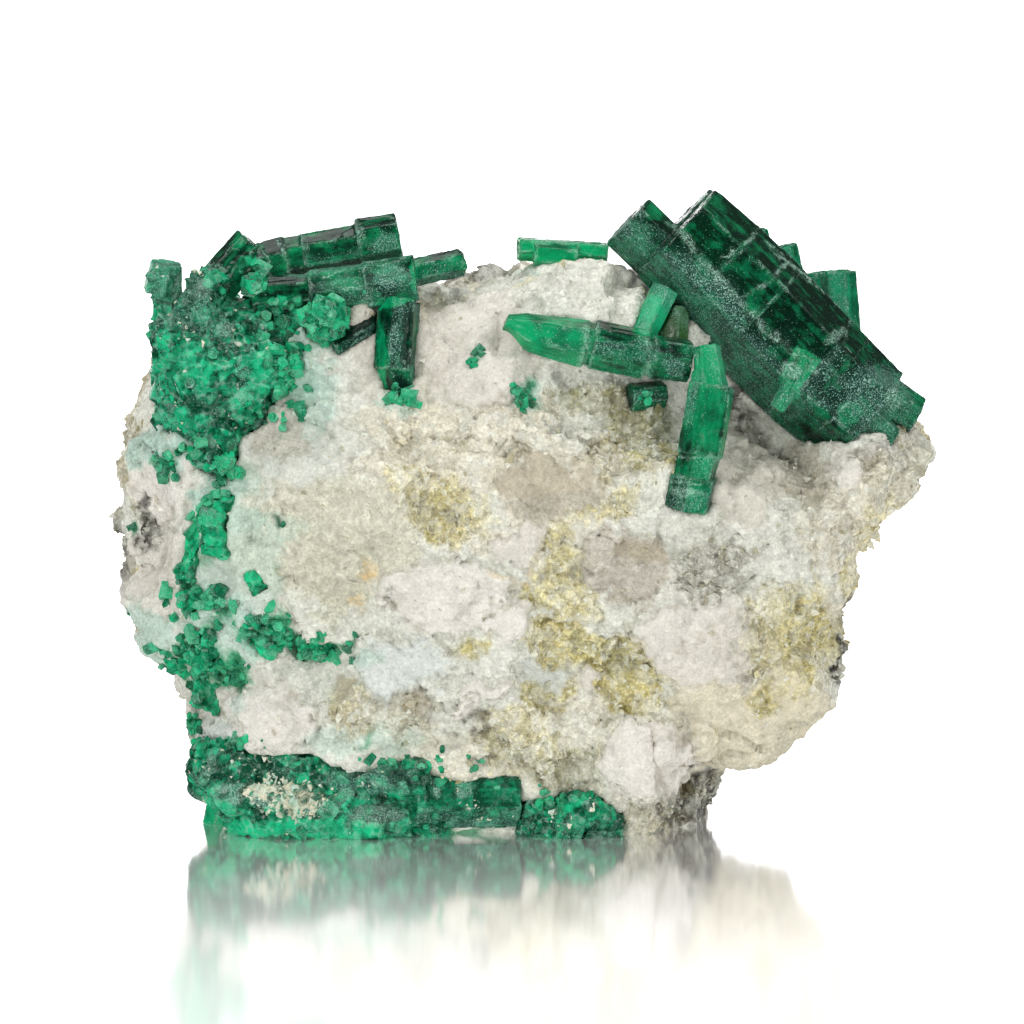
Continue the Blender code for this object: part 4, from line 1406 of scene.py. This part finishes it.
def make_crystals():
    """Every crystal in its place, by the name of its node.

    The numbers after the segments are the voxel in millimetres, frost, glow and, where given, lumps.
    """
    grown = {}

    def add(node, *settings, **more):
        grown[node] = grow(node, *settings, **more)

    add("large_emerald", DARK, chain(
        ((16.2, -12, 66.4), (21.5, -12, 61.3), 6.4, 8),
        ((20.6, -12.2, 62.2), (25, -12.2, 57.6), 6.9, 8),
        ((24, -12, 58.6), (32.6, -12, 49.6), 7.5, 8),
        ((31.1, -11.6, 51.3), (37, -11, 45.7), 6.9, 12),
        ((17.4, -7, 68), (29.4, -7, 56.2), 4.2, 20),
        ((10.9, -9.5, 67.4), (19.4, -9.5, 59.2), 3.5, 8),
        ((30.5, -17.6, 53), (27.2, -18.2, 47.2), 1.2, 10, 0.8),
        ((34, -13.5, 47), (39.6, -13, 42.8), 3.2, 25, 0.8),
        ((36, -9.5, 49.6), (42.8, -9, 45.4), 3.2, 5, 0.8),
    ), 0.20, 0.30, 0.05, glow_of=[0.0, 0.0, 0.0, 0.1, 0.05, 0.15, 0.7, 0.35, 0.2], bands=0.15,
         even=(4, [6.5, 6.8, 7.1, 7.0, 6.6]), striae=0.4)
    rear = [
        ((28.2, 3, 52.5), (25, 2, 65.5), 1.9, 20),
        ((31.6, 4.5, 50), (28.5, 3.6, 63.8), 1.7, 0),
        ((34.2, 4, 48), (31.9, 5, 60.7), 1.6, 15),
        ((36, 0, 44.5), (34.6, 0.8, 61.1), 2.1, 10),
    ]
    for number, row in enumerate(rear, 1):
        add(f"rear_emerald_{number}", BRIGHT, chain(row), 0.24, 0.3, 0.35)
    add("short_emerald", DARK, chain(((-35.2, -12, 59.6), (-30.4, -12, 65), 2.5, 15)), 0.18, 0.35, 0.35)
    add("upper_long_emerald", DARK, chain(
        ((-29.8, -12.5, 62.6), (-26.6, -12.5, 63.4), 2.6, -5),
        ((-27.2, -12.4, 63.3), (-24.2, -12.4, 63.8), 2.4, 2),
        ((-24.8, -12.5, 63.7), (-18, -12.5, 64.9), 2.5, 2),
        ((-18.8, -12.5, 64.9), (-14.3, -12.3, 65.7), 3.0, 8, 0.95),
    ), 0.18, 0.30, 0.2)
    add("lower_long_emerald", DARK, chain(
        ((-30.4, -16.6, 59.6), (-23.4, -16.8, 60.2), 2.0, 5),
        ((-24, -17, 60.2), (-17.2, -17.2, 61), 2.5, 28),
        ((-18, -17.4, 60.9), (-12.4, -17.4, 61.7), 2.9, 32),
    ), 0.18, 0.30, 0.2)
    add("end_emerald", DARK, chain(((-14.6, -12.6, 61.4), (-7.4, -12, 63), 1.6, 5)), 0.18, 0.35, 0.25)
    add("hanging_emerald", DARK, chain(
        ((-14.2, -18.4, 59.4), (-14.8, -19.6, 51.6), 2.4, 14),
        ((-14.7, -19.5, 52.6), (-13.7, -19.8, 47.4), 2.3, 14, 0.7),
    ), 0.18, 0.3, 0.2)
    add("slim_dark_emerald", DARK, chain(((-15.6, -17.6, 57.4), (-21.4, -19.4, 54), 1.1, 20)), 0.15, 0.2, 0.1)
    add("rough_green_emerald", BRIGHT, [], 0.18, 0.3, 0.6, 0.9)
    add("left_emerald_mass", MASS, chain(
        ((-40.4, -13.8, 59.8), (-39.9, -14.4, 63.1), 2.4, 20, 0.8),
    ), 0.24, 0.3, 0.50, 1.0)
    add("tablet_emerald", DARK, [
        Segment((-1.2, -8, 64.2), (8.6, -7, 63.5), 1.4, 25, flat=1.6),
        Segment((0.6, -9, 63.6), (5.4, -9, 63.2), 1.6, 8, flat=1.3),
    ], 0.16, 0.2, 0.9)
    add("crossing_emerald", DARK, chain(
        ((-2.6, -20.8, 56.4), (6.2, -20.6, 54.6), 1.9, 10, 1.45),
        ((5.6, -20.6, 54.8), (7.8, -20.6, 54.4), 2.4, 10),
        ((7, -20.6, 54.6), (12.8, -20.5, 53.4), 2.8, 15),
        ((12.2, -20.5, 53.5), (14.2, -20.4, 53.1), 2.3, 15),
        ((13.4, -20.4, 53.2), (17.6, -19.8, 52.6), 2.6, 22, 0.95),
    ), 0.17, 0.3, 0.25, glow_of=[0.45, 0.3, 0.05, 0.1, -0.05])
    break_tip(grown["crossing_emerald"], -2.6, 2.6, 57.6, -20.8)
    add("upright_emerald", BRIGHT, chain(((12, -17.8, 54.4), (15, -16.2, 60.4), 1.6, 20)), 0.16, 0.15, 0.7)
    add("olive_emerald", OLIVE, chain(((15.6, -16.2, 53.4), (15.9, -15, 58.2), 1.9, 10)), 0.17, 0.2, 0.5)
    add("bent_emerald", DARK, chain(
        ((19.2, -21.2, 54.4), (19.9, -22.2, 49.4), 1.7, 12, 1.25),
        ((20, -22.2, 50.2), (18.7, -23, 42.6), 2.7, 18),
        ((18.8, -22.9, 43), (17.9, -23, 39.8), 2.4, 15),
        ((18, -22.8, 40.3), (17.2, -22.6, 36.6), 2.8, 20, 0.95),
    ), 0.17, 0.35, 0.4, glow_of=[0.4, 0.1, 0.1, 0.0])
    add("embedded_emerald", DARK, chain(
        ((11, -19.4, 48.6), (14.8, -18, 48.9), 1.6, 10),
    ), 0.16, 0.35, 0.3, 0.4)
    add("lower_emerald_band", MASS, chain(
        ((-12.6, -18.6, 4.6), (-1.2, -17.2, 4.4), 3.7, 12),
    ), 0.25, 0.35, 0.38, 1.0, glow_of=[-0.22], striae=2.5)
    add("corner_emerald", BRIGHT, chain(((-33.6, -6.4, 6), (-35, -7.4, -1), 1.7, 20)), 0.17, 0.15, 0.7)
    add("lower_right_emerald", MASS, [], 0.22, 0.45, 0.40, 1.0)
    for number in range(1, 10):
        add(f"side_emerald_{number}", BRIGHT, [], 0.17, 0.25, 0.6, 0.8)
    return grown


# ================================================================ grains and chips
def corners_of(mesh):
    """Corner numbers of each triangle or, for a square, of its first three corners."""
    starts = np.empty(len(mesh.polygons), int)
    mesh.polygons.foreach_get("loop_start", starts)
    loops = np.empty(len(mesh.loops), int)
    mesh.loops.foreach_get("vertex_index", loops)
    return np.stack([loops[starts], loops[starts + 1], loops[starts + 2]], 1)


def pick_places(piece, weigh, count, seed):
    """Random places on a piece: their positions, normals and the numbers of the nearest corners."""
    mesh = piece.data
    points = mesh_points(mesh)
    corners = corners_of(mesh)
    sides = points[corners]
    normals = np.cross(sides[:, 1] - sides[:, 0], sides[:, 2] - sides[:, 0])
    areas = np.linalg.norm(normals, axis=1)
    normals /= np.maximum(areas, 1e-9)[:, None]
    chance = areas * weigh(mesh, sides.mean(1), normals, corners)
    random = np.random.default_rng(seed)
    chosen = random.choice(len(corners), size=count, p=chance / chance.sum())
    share = random.dirichlet((1.0, 1.0, 1.0), count)
    return (sides[chosen] * share[:, :, None]).sum(1), normals[chosen], corners[chosen, 0]


# A grain of calcite: a cube's corners and faces, and how it leans into a rhomb.
BLOCK_CORNERS = np.array(list(itertools.product((-1.0, 1.0), repeat=3)))
BLOCK_FACES = np.array([(0, 1, 3, 2), (4, 6, 7, 5), (0, 4, 5, 1), (2, 3, 7, 6), (0, 2, 6, 4), (1, 5, 7, 3)])
RHOMB = np.array([(1.0, 0.22, 0.22), (0.22, 1.0, 0.22), (0.22, 0.22, 1.0)])


def random_turns(random, count):
    """Random rotations, as matrices."""
    first = random.normal(size=(count, 3))
    second = random.normal(size=(count, 3))
    first /= np.linalg.norm(first, axis=1, keepdims=True)
    third = np.cross(first, second)
    third /= np.linalg.norm(third, axis=1, keepdims=True)
    return np.stack([first, np.cross(third, first), third], 2)


def mesh_from(name, points, faces):
    mesh = bpy.data.meshes.new(name)
    mesh.from_pydata((points * MM).tolist(), [], faces.tolist())
    mesh.update()
    return mesh


def make_grains(name, places, normals, sizes, seed, sink=0.38, jitter=0.22):
    """Broken rhombs of calcite, each a little different, half sunk where they lie."""
    random = np.random.default_rng(seed)
    count = len(places)
    shape = BLOCK_CORNERS[None] + random.uniform(-jitter, jitter, (count, 8, 3))
    shape = shape * random.uniform(0.6, 1.15, (count, 1, 3))
    shape = shape @ RHOMB
    turned = np.einsum("nij,nkj->nki", random_turns(random, count), shape)
    middles = places[:, None] - normals[:, None] * (sizes * sink)[:, None, None]
    points = (middles + turned * sizes[:, None, None] * 0.5).reshape(-1, 3)
    points[:, 2] = np.maximum(points[:, 2], FLOOR_GAP)
    corners = len(BLOCK_CORNERS)
    faces = (BLOCK_FACES[None] + corners * np.arange(count)[:, None, None]).reshape(-1, 4)
    return new_piece(name, mesh_from(name, points, faces)), corners


def chip_points(random, places, normals, sizes, lengths, spread, sink):
    """Corners of short six-sided crystals: six at the foot of each, then six at its slanting top."""
    count = len(places)
    angles = np.radians(360 / PRISM_SIDES * np.arange(PRISM_SIDES))
    ring = np.stack([np.cos(angles), np.sin(angles)], 1)
    axis = normals + spread * random.normal(size=(count, 3))
    axis /= np.linalg.norm(axis, axis=1, keepdims=True)
    side = np.cross(axis, random.normal(size=(count, 3)))
    side /= np.linalg.norm(side, axis=1, keepdims=True)
    other = np.cross(axis, side)
    squash = random.uniform(0.65, 1.0, count)
    wide = side[:, None] * ring[None, :, :1] + other[:, None] * ring[None, :, 1:] * squash[:, None, None]
    wide = wide * sizes[:, None, None] * random.uniform(0.85, 1.1, (count, PRISM_SIDES, 1))
    base = places - axis * (lengths * sink)[:, None]
    tops = base + axis * lengths[:, None]
    tilt = random.uniform(-0.25, 0.25, (count, PRISM_SIDES, 1)) * sizes[:, None, None] * axis[:, None]
    low = base[:, None] + wide
    high = tops[:, None] + wide * random.uniform(0.75, 1.0, (count, 1, 1)) + tilt
    points = np.concatenate([low, high], 1).reshape(-1, 3)
    points[:, 2] = np.maximum(points[:, 2], FLOOR_GAP)
    return points


def add_prism(bm, foot, top):
    """The faces of one six-sided prism between two rings of corners."""
    bm.faces.new(foot[::-1])
    bm.faces.new(top)
    for step in range(PRISM_SIDES):
        after = (step + 1) % PRISM_SIDES
        bm.faces.new([foot[step], foot[after], top[after], top[step]])


def make_chips(name, places, normals, sizes, lengths, seed, spread=0.9, sink=0.35):
    """Short six-sided crystals standing out of the surface they grow on."""
    points = chip_points(np.random.default_rng(seed), places, normals, sizes, lengths, spread, sink)
    bm = bmesh.new()
    verts = [bm.verts.new(point * MM) for point in points]
    corners = 2 * PRISM_SIDES
    for start in range(0, len(verts), corners):
        add_prism(bm, verts[start:start + PRISM_SIDES], verts[start + PRISM_SIDES:start + corners])
    bmesh.ops.recalc_face_normals(bm, faces=bm.faces)
    return new_piece(name, mesh_of(name, bm)), corners


def dress_chips(piece, per_piece, shade, frost, glow, heal, seed):
    """Give each chip its own brightness and wear."""
    random = np.random.default_rng(seed)
    mesh = piece.data
    count = len(mesh.vertices) // per_piece

    def spread(low, high):
        return np.repeat(random.uniform(low, high, count), per_piece)

    add_value(mesh, "frost", spread(*frost))
    add_value(mesh, "glow", spread(*glow))
    add_value(mesh, "heal", spread(*heal))
    add_value(mesh, "rugged", spread(0.2, 0.7))
    add_vector(mesh, "along", mesh_points(mesh) * 1.1)
    mesh.materials.append(shade)
    return finish_piece(piece, SLOT_OF[shade.name])


CRUST_GRAINS = 12500
CHIPS = 420
CREAM_POCKET = (285, 798, 34, 18, 10)  # column, row, half width, half height and turn in the front

# Clusters of small emeralds in the front: column, row, half width, half height, count, size in millimetres.
CHIP_CLUSTERS = [
    (325, 316, 24, 16, 60, 0.62),
    (288, 318, 26, 16, 50, 0.55),
    (400, 396, 6, 5, 20, 0.60),
    (255, 277, 8, 10, 26, 0.75),
    (292, 370, 12, 24, 50, 0.66),
    (262, 418, 16, 10, 18, 0.50),
    (222, 470, 14, 18, 34, 0.62),
    (190, 452, 10, 8, 8, 0.45),
    (202, 520, 12, 22, 30, 0.55),
    (205, 600, 26, 14, 36, 0.55),
    (200, 655, 20, 26, 44, 0.60),
    (265, 632, 26, 14, 36, 0.60),
    (310, 650, 26, 9, 26, 0.52),
    (185, 722, 9, 18, 20, 0.50),
    (225, 745, 40, 6, 16, 0.50),
    (420, 760, 60, 6, 16, 0.50),
    (560, 795, 40, 8, 16, 0.50),
    (527, 401, 10, 9, 12, 0.50),
    (168, 459, 6, 8, 8, 0.42),
    (650, 396, 10, 5, 8, 0.45),
]


def make_crust(rock):
    """The loose grains of calcite that cover the granular parts of the rock."""

    def weigh(mesh, middles, normals, corners):
        sugar = read_layer(mesh, "sugar", 1)[corners[:, 0], 0]
        tint = read_layer(mesh, "tint", 4)[corners[:, 0]]
        green = tint[:, 1] > 1.35 * tint[:, 0]
        inner = 1 - 0.75 * smoothstep(32.0, 38.0, middles[:, 0])
        return (0.07 + smoothstep(0.45, 0.9, sugar)) * (middles[:, 2] > 0.8) * ~green * inner

    places, normals, corners = pick_places(rock, weigh, CRUST_GRAINS, 11)
    random = np.random.default_rng(12)
    sizes = np.clip(random.lognormal(-0.88, 0.38, CRUST_GRAINS), 0.18, 1.0)
    piece, each = make_grains("calcite_crust", places, normals, sizes, 13)
    tint = read_layer(rock.data, "tint", 4)[corners, :3]
    kind = random.random(CRUST_GRAINS)
    white = MINERALS["white"][0]
    tint = np.where((kind < 0.40)[:, None], tint + (white - tint) * 0.75, tint)
    tint = np.where((kind > 0.84)[:, None], tint * (0.74, 0.72, 0.62), tint)
    tint = tint * random.uniform(0.85, 1.12, (CRUST_GRAINS, 1))
    add_colour(piece.data, "tint", np.repeat(np.clip(tint, 0, 0.95), each, axis=0))
    piece.data.materials.append(GRAIN)
    return finish_piece(piece, "calcite")


def make_green_chips(rock):
    """Small emeralds grown through the green parts of the rock."""

    def weigh(mesh, middles, normals, corners):
        tint = read_layer(mesh, "tint", 4)[corners[:, 0]]
        return smoothstep(1.5, 3.0, tint[:, 1] / np.maximum(tint[:, 0], 0.01)) * (middles[:, 2] > 1.0)

    places, normals, _ = pick_places(rock, weigh, CHIPS, 21)
    random = np.random.default_rng(22)
    sizes = np.clip(random.lognormal(-0.95, 0.4, CHIPS), 0.18, 0.9)
    lengths = sizes * random.uniform(1.2, 2.6, CHIPS)
    piece, each = make_chips("emerald_chips", places, normals, sizes, lengths, 23)
    dress_chips(piece, each, BRIGHT, (0.0, 0.5), (0.1, 0.9), (0.0, 0.35), 24)


def make_mass_chips(mass, name, count, seed, size):
    """Crystals standing out of a granular mass."""

    def weigh(mesh, middles, normals, corners):
        return (middles[:, 2] > 0.8) * (0.2 + smoothstep(-0.2, 0.6, -normals[:, 1]))

    places, normals, _ = pick_places(mass, weigh, count, seed)
    random = np.random.default_rng(seed + 1)
    sizes = size * random.uniform(0.5, 1.2, count)
    lengths = sizes * random.uniform(1.2, 2.4, count)
    piece, each = make_chips(name, places, normals, sizes, lengths, seed + 2, spread=0.8, sink=0.6)
    dress_chips(piece, each, MASS, (0.0, 0.4), (0.15, 0.8), (0.0, 0.4), seed + 3)


def make_cluster_chips(pieces):
    """Small emeralds in the clusters of the front, on whatever is foremost there."""
    points = np.concatenate([mesh_points(piece.data) for piece in pieces])
    normals = np.concatenate([mesh_normals(piece.data) for piece in pieces])
    facing = normals[:, 1] < -0.1
    points = points[facing]
    normals = normals[facing]
    seen = picture_place(points)
    random = np.random.default_rng(91)
    chosen = []
    sizes = []
    for column, row, wide, high, count, size in CHIP_CLUSTERS:
        centre = np.array([column, row])
        near = np.flatnonzero(np.all(np.abs(seen - centre) < (2.2 * wide + 4, 2.2 * high + 4), axis=1))
        for _ in range(count):
            place = centre + np.clip(random.normal(size=2) * 0.6, -1.6, 1.6) * (wide, high)
            here = near[np.all(np.abs(seen[near] - place) < 3.5, axis=1)]
            if len(here):
                chosen.append(here[np.argmin(points[here, 1])])
                sizes.append(size * min(math.exp(0.4 * random.normal()), 1.5))
    sizes = np.array(sizes)
    lengths = sizes * random.uniform(1.2, 2.2, len(sizes))
    piece, each = make_chips(
        "cluster_chips", points[chosen], normals[chosen], sizes, lengths, 92, spread=0.55, sink=0.74
    )
    dress_chips(piece, each, BRIGHT, (0.0, 0.5), (0.1, 1.2), (-0.4, 0.6), 93)


def make_crumbs(mass, name, count, seed):
    """Grains of white calcite left in clusters on a green mass."""

    def weigh(mesh, middles, normals, corners):
        clusters = smoothstep(0.05, 0.45, fractal(middles, 3.2, 3, seed * 1.7))
        pocket = oval(picture_place(middles), *CREAM_POCKET) * (normals[:, 1] < 0)
        return (0.03 + clusters + 8.0 * pocket) * (middles[:, 2] > 0.6)

    places, normals, _ = pick_places(mass, weigh, count, seed)
    random = np.random.default_rng(seed + 1)
    sizes = np.clip(random.lognormal(-1.05, 0.35, count), 0.15, 0.7)
    sizes = sizes * (1 + 0.9 * oval(picture_place(places), *CREAM_POCKET))
    piece, each = make_grains(name, places, normals, sizes, seed + 2, sink=0.45)
    share = random.random((count, 1))
    tint = MINERALS["cream"][0] * share + MINERALS["mint"][0] * (1 - share)
    add_colour(piece.data, "tint", np.repeat(tint, each, axis=0))
    piece.data.materials.append(GRAIN)
    finish_piece(piece, "calcite")


ROCK = make_rock()
CRYSTALS = make_crystals()
make_crust(ROCK)
make_green_chips(ROCK)
make_mass_chips(CRYSTALS["left_emerald_mass"], "left_mass_chips", count=45, seed=31, size=0.8)
make_mass_chips(CRYSTALS["lower_emerald_band"], "band_chips", count=60, seed=41, size=0.7)
make_mass_chips(CRYSTALS["lower_right_emerald"], "lower_right_chips", count=16, seed=51, size=0.6)
make_cluster_chips([ROCK, *CRYSTALS.values()])
make_crumbs(CRYSTALS["left_emerald_mass"], "left_mass_crumbs", count=420, seed=61)
make_crumbs(CRYSTALS["lower_emerald_band"], "band_crumbs", count=850, seed=71)
make_crumbs(CRYSTALS["lower_right_emerald"], "lower_right_crumbs", count=160, seed=81)


# ================================================================ light, floor and camera
WHITE = colour(1.0, 1.0, 1.0)
STUDIO_LIGHT = 0.58
STUDIO_GLOSS = 0.08
FLOOR_RADIUS = 2.5
FLOOR_GREY = colour(0.80, 0.80, 0.80)
FLOOR_FADE = (-0.150, -0.025)  # where the mirror image fades out and where it is clearest, along Y
FLOOR_GLOW = (0.60, 0.0)
FLOOR_FILL = 0.85  # light that the table throws back up at the piece
CARD_WIDTH = 5.0
CARD_HEIGHT = 0.44
CARD_Y = 2.3
CARD_GLOW = 1.25


def area_light(name, place, size, power):
    """A soft light that looks at the middle of the piece."""
    data = bpy.data.lights.new(name, "AREA")
    data.shape = "RECTANGLE"
    data.size, data.size_y = size
    data.energy = power
    light = bpy.data.objects.new(name, data)
    light.location = place
    light.rotation_euler = (Vector((0, 0, 0.03)) - Vector(place)).to_track_quat("-Z", "Y").to_euler()
    bpy.context.scene.collection.objects.link(light)


def make_floor():
    """A white glossy table that mirrors the foot of the piece and fades to plain white in front."""
    bm = bmesh.new()
    bmesh.ops.create_circle(bm, cap_ends=True, segments=64, radius=FLOOR_RADIUS)
    floor = new_piece("floor", mesh_of("floor", bm))
    nodes = Nodes("pale_floor")
    nodes.plain(Base_Color=FLOOR_GREY, Metallic=0.72, Roughness=0.09, IOR=1.5, Emission_Color=WHITE)
    forward = nodes.part_of(nodes.place(1.0), 1)
    is_diffuse = nodes.make("ShaderNodeLightPath").outputs["Is Diffuse Ray"]
    glow = nodes.choose(is_diffuse, nodes.ramp(forward, *FLOOR_FADE, *FLOOR_GLOW), FLOOR_FILL)
    nodes.join(glow, nodes.shader.inputs["Emission Strength"])
    floor.data.materials.append(nodes.material)
    floor.visible_glossy = False


def make_backdrop():
    """A low glowing white card far behind, for the floor to mirror."""
    bm = bmesh.new()
    bmesh.ops.create_grid(bm, x_segments=1, y_segments=1, size=0.5)
    bmesh.ops.scale(bm, vec=(CARD_WIDTH, CARD_HEIGHT, 1.0), verts=bm.verts)
    bmesh.ops.rotate(bm, verts=bm.verts, matrix=Matrix.Rotation(math.radians(90), 3, "X"))
    bmesh.ops.translate(bm, vec=(0.0, CARD_Y, CARD_HEIGHT / 2), verts=bm.verts)
    card = new_piece("backdrop", mesh_of("backdrop", bm))
    nodes = Nodes("white_card")
    nodes.plain(Base_Color=WHITE, Emission_Color=WHITE, Emission_Strength=CARD_GLOW)
    card.data.materials.append(nodes.material)


CAMERA_LENS = 300
CAMERA_SENSOR = 36
CAMERA_TARGET = (-1.87, -18.54, 35.91)  # millimetres
PICTURE_WIDTH = 112.6  # millimetres that the picture spans at the target


def make_camera():
    data = bpy.data.cameras.new("camera")
    data.lens = CAMERA_LENS
    data.sensor_width = CAMERA_SENSOR
    data.clip_start = 0.01
    camera = bpy.data.objects.new("camera", data)
    distance = PICTURE_WIDTH * MM * CAMERA_LENS / CAMERA_SENSOR
    away = Vector((0.0, -math.cos(CAMERA_RISE), math.sin(CAMERA_RISE)))
    camera.location = Vector(CAMERA_TARGET) * MM + away * distance
    camera.rotation_euler = (-away).to_track_quat("-Z", "Y").to_euler()
    bpy.context.scene.collection.objects.link(camera)
    bpy.context.scene.camera = camera


def make_world():
    """An even white studio: full white to the eye, dimmer as light, and dim where the crystals mirror it."""
    world = bpy.data.worlds.new("world")
    world.use_nodes = True
    tree = world.node_tree
    back = tree.nodes["Background"]
    back.inputs["Color"].default_value = WHITE
    seen = tree.nodes.new("ShaderNodeLightPath")
    strength = tree.nodes.new("ShaderNodeMapRange")
    strength.inputs["To Max"].default_value = 1.0
    gloss = tree.nodes.new("ShaderNodeMapRange")
    gloss.inputs["To Min"].default_value = STUDIO_LIGHT
    gloss.inputs["To Max"].default_value = STUDIO_GLOSS
    tree.links.new(seen.outputs["Is Glossy Ray"], gloss.inputs["Value"])
    tree.links.new(gloss.outputs["Result"], strength.inputs["To Min"])
    tree.links.new(seen.outputs["Is Camera Ray"], strength.inputs["Value"])
    tree.links.new(strength.outputs["Result"], back.inputs["Strength"])
    bpy.context.scene.world = world


make_camera()
make_world()
make_floor()
make_backdrop()
area_light("key", place=(-0.35, -0.45, 0.45), size=(0.35, 0.35), power=1.65)
area_light("fill", place=(0.50, -0.40, 0.30), size=(0.30, 0.45), power=0.95)
area_light("top", place=(0.0, 0.10, 0.60), size=(0.50, 0.50), power=1.7)
bpy.context.scene.view_settings.view_transform = "Standard"
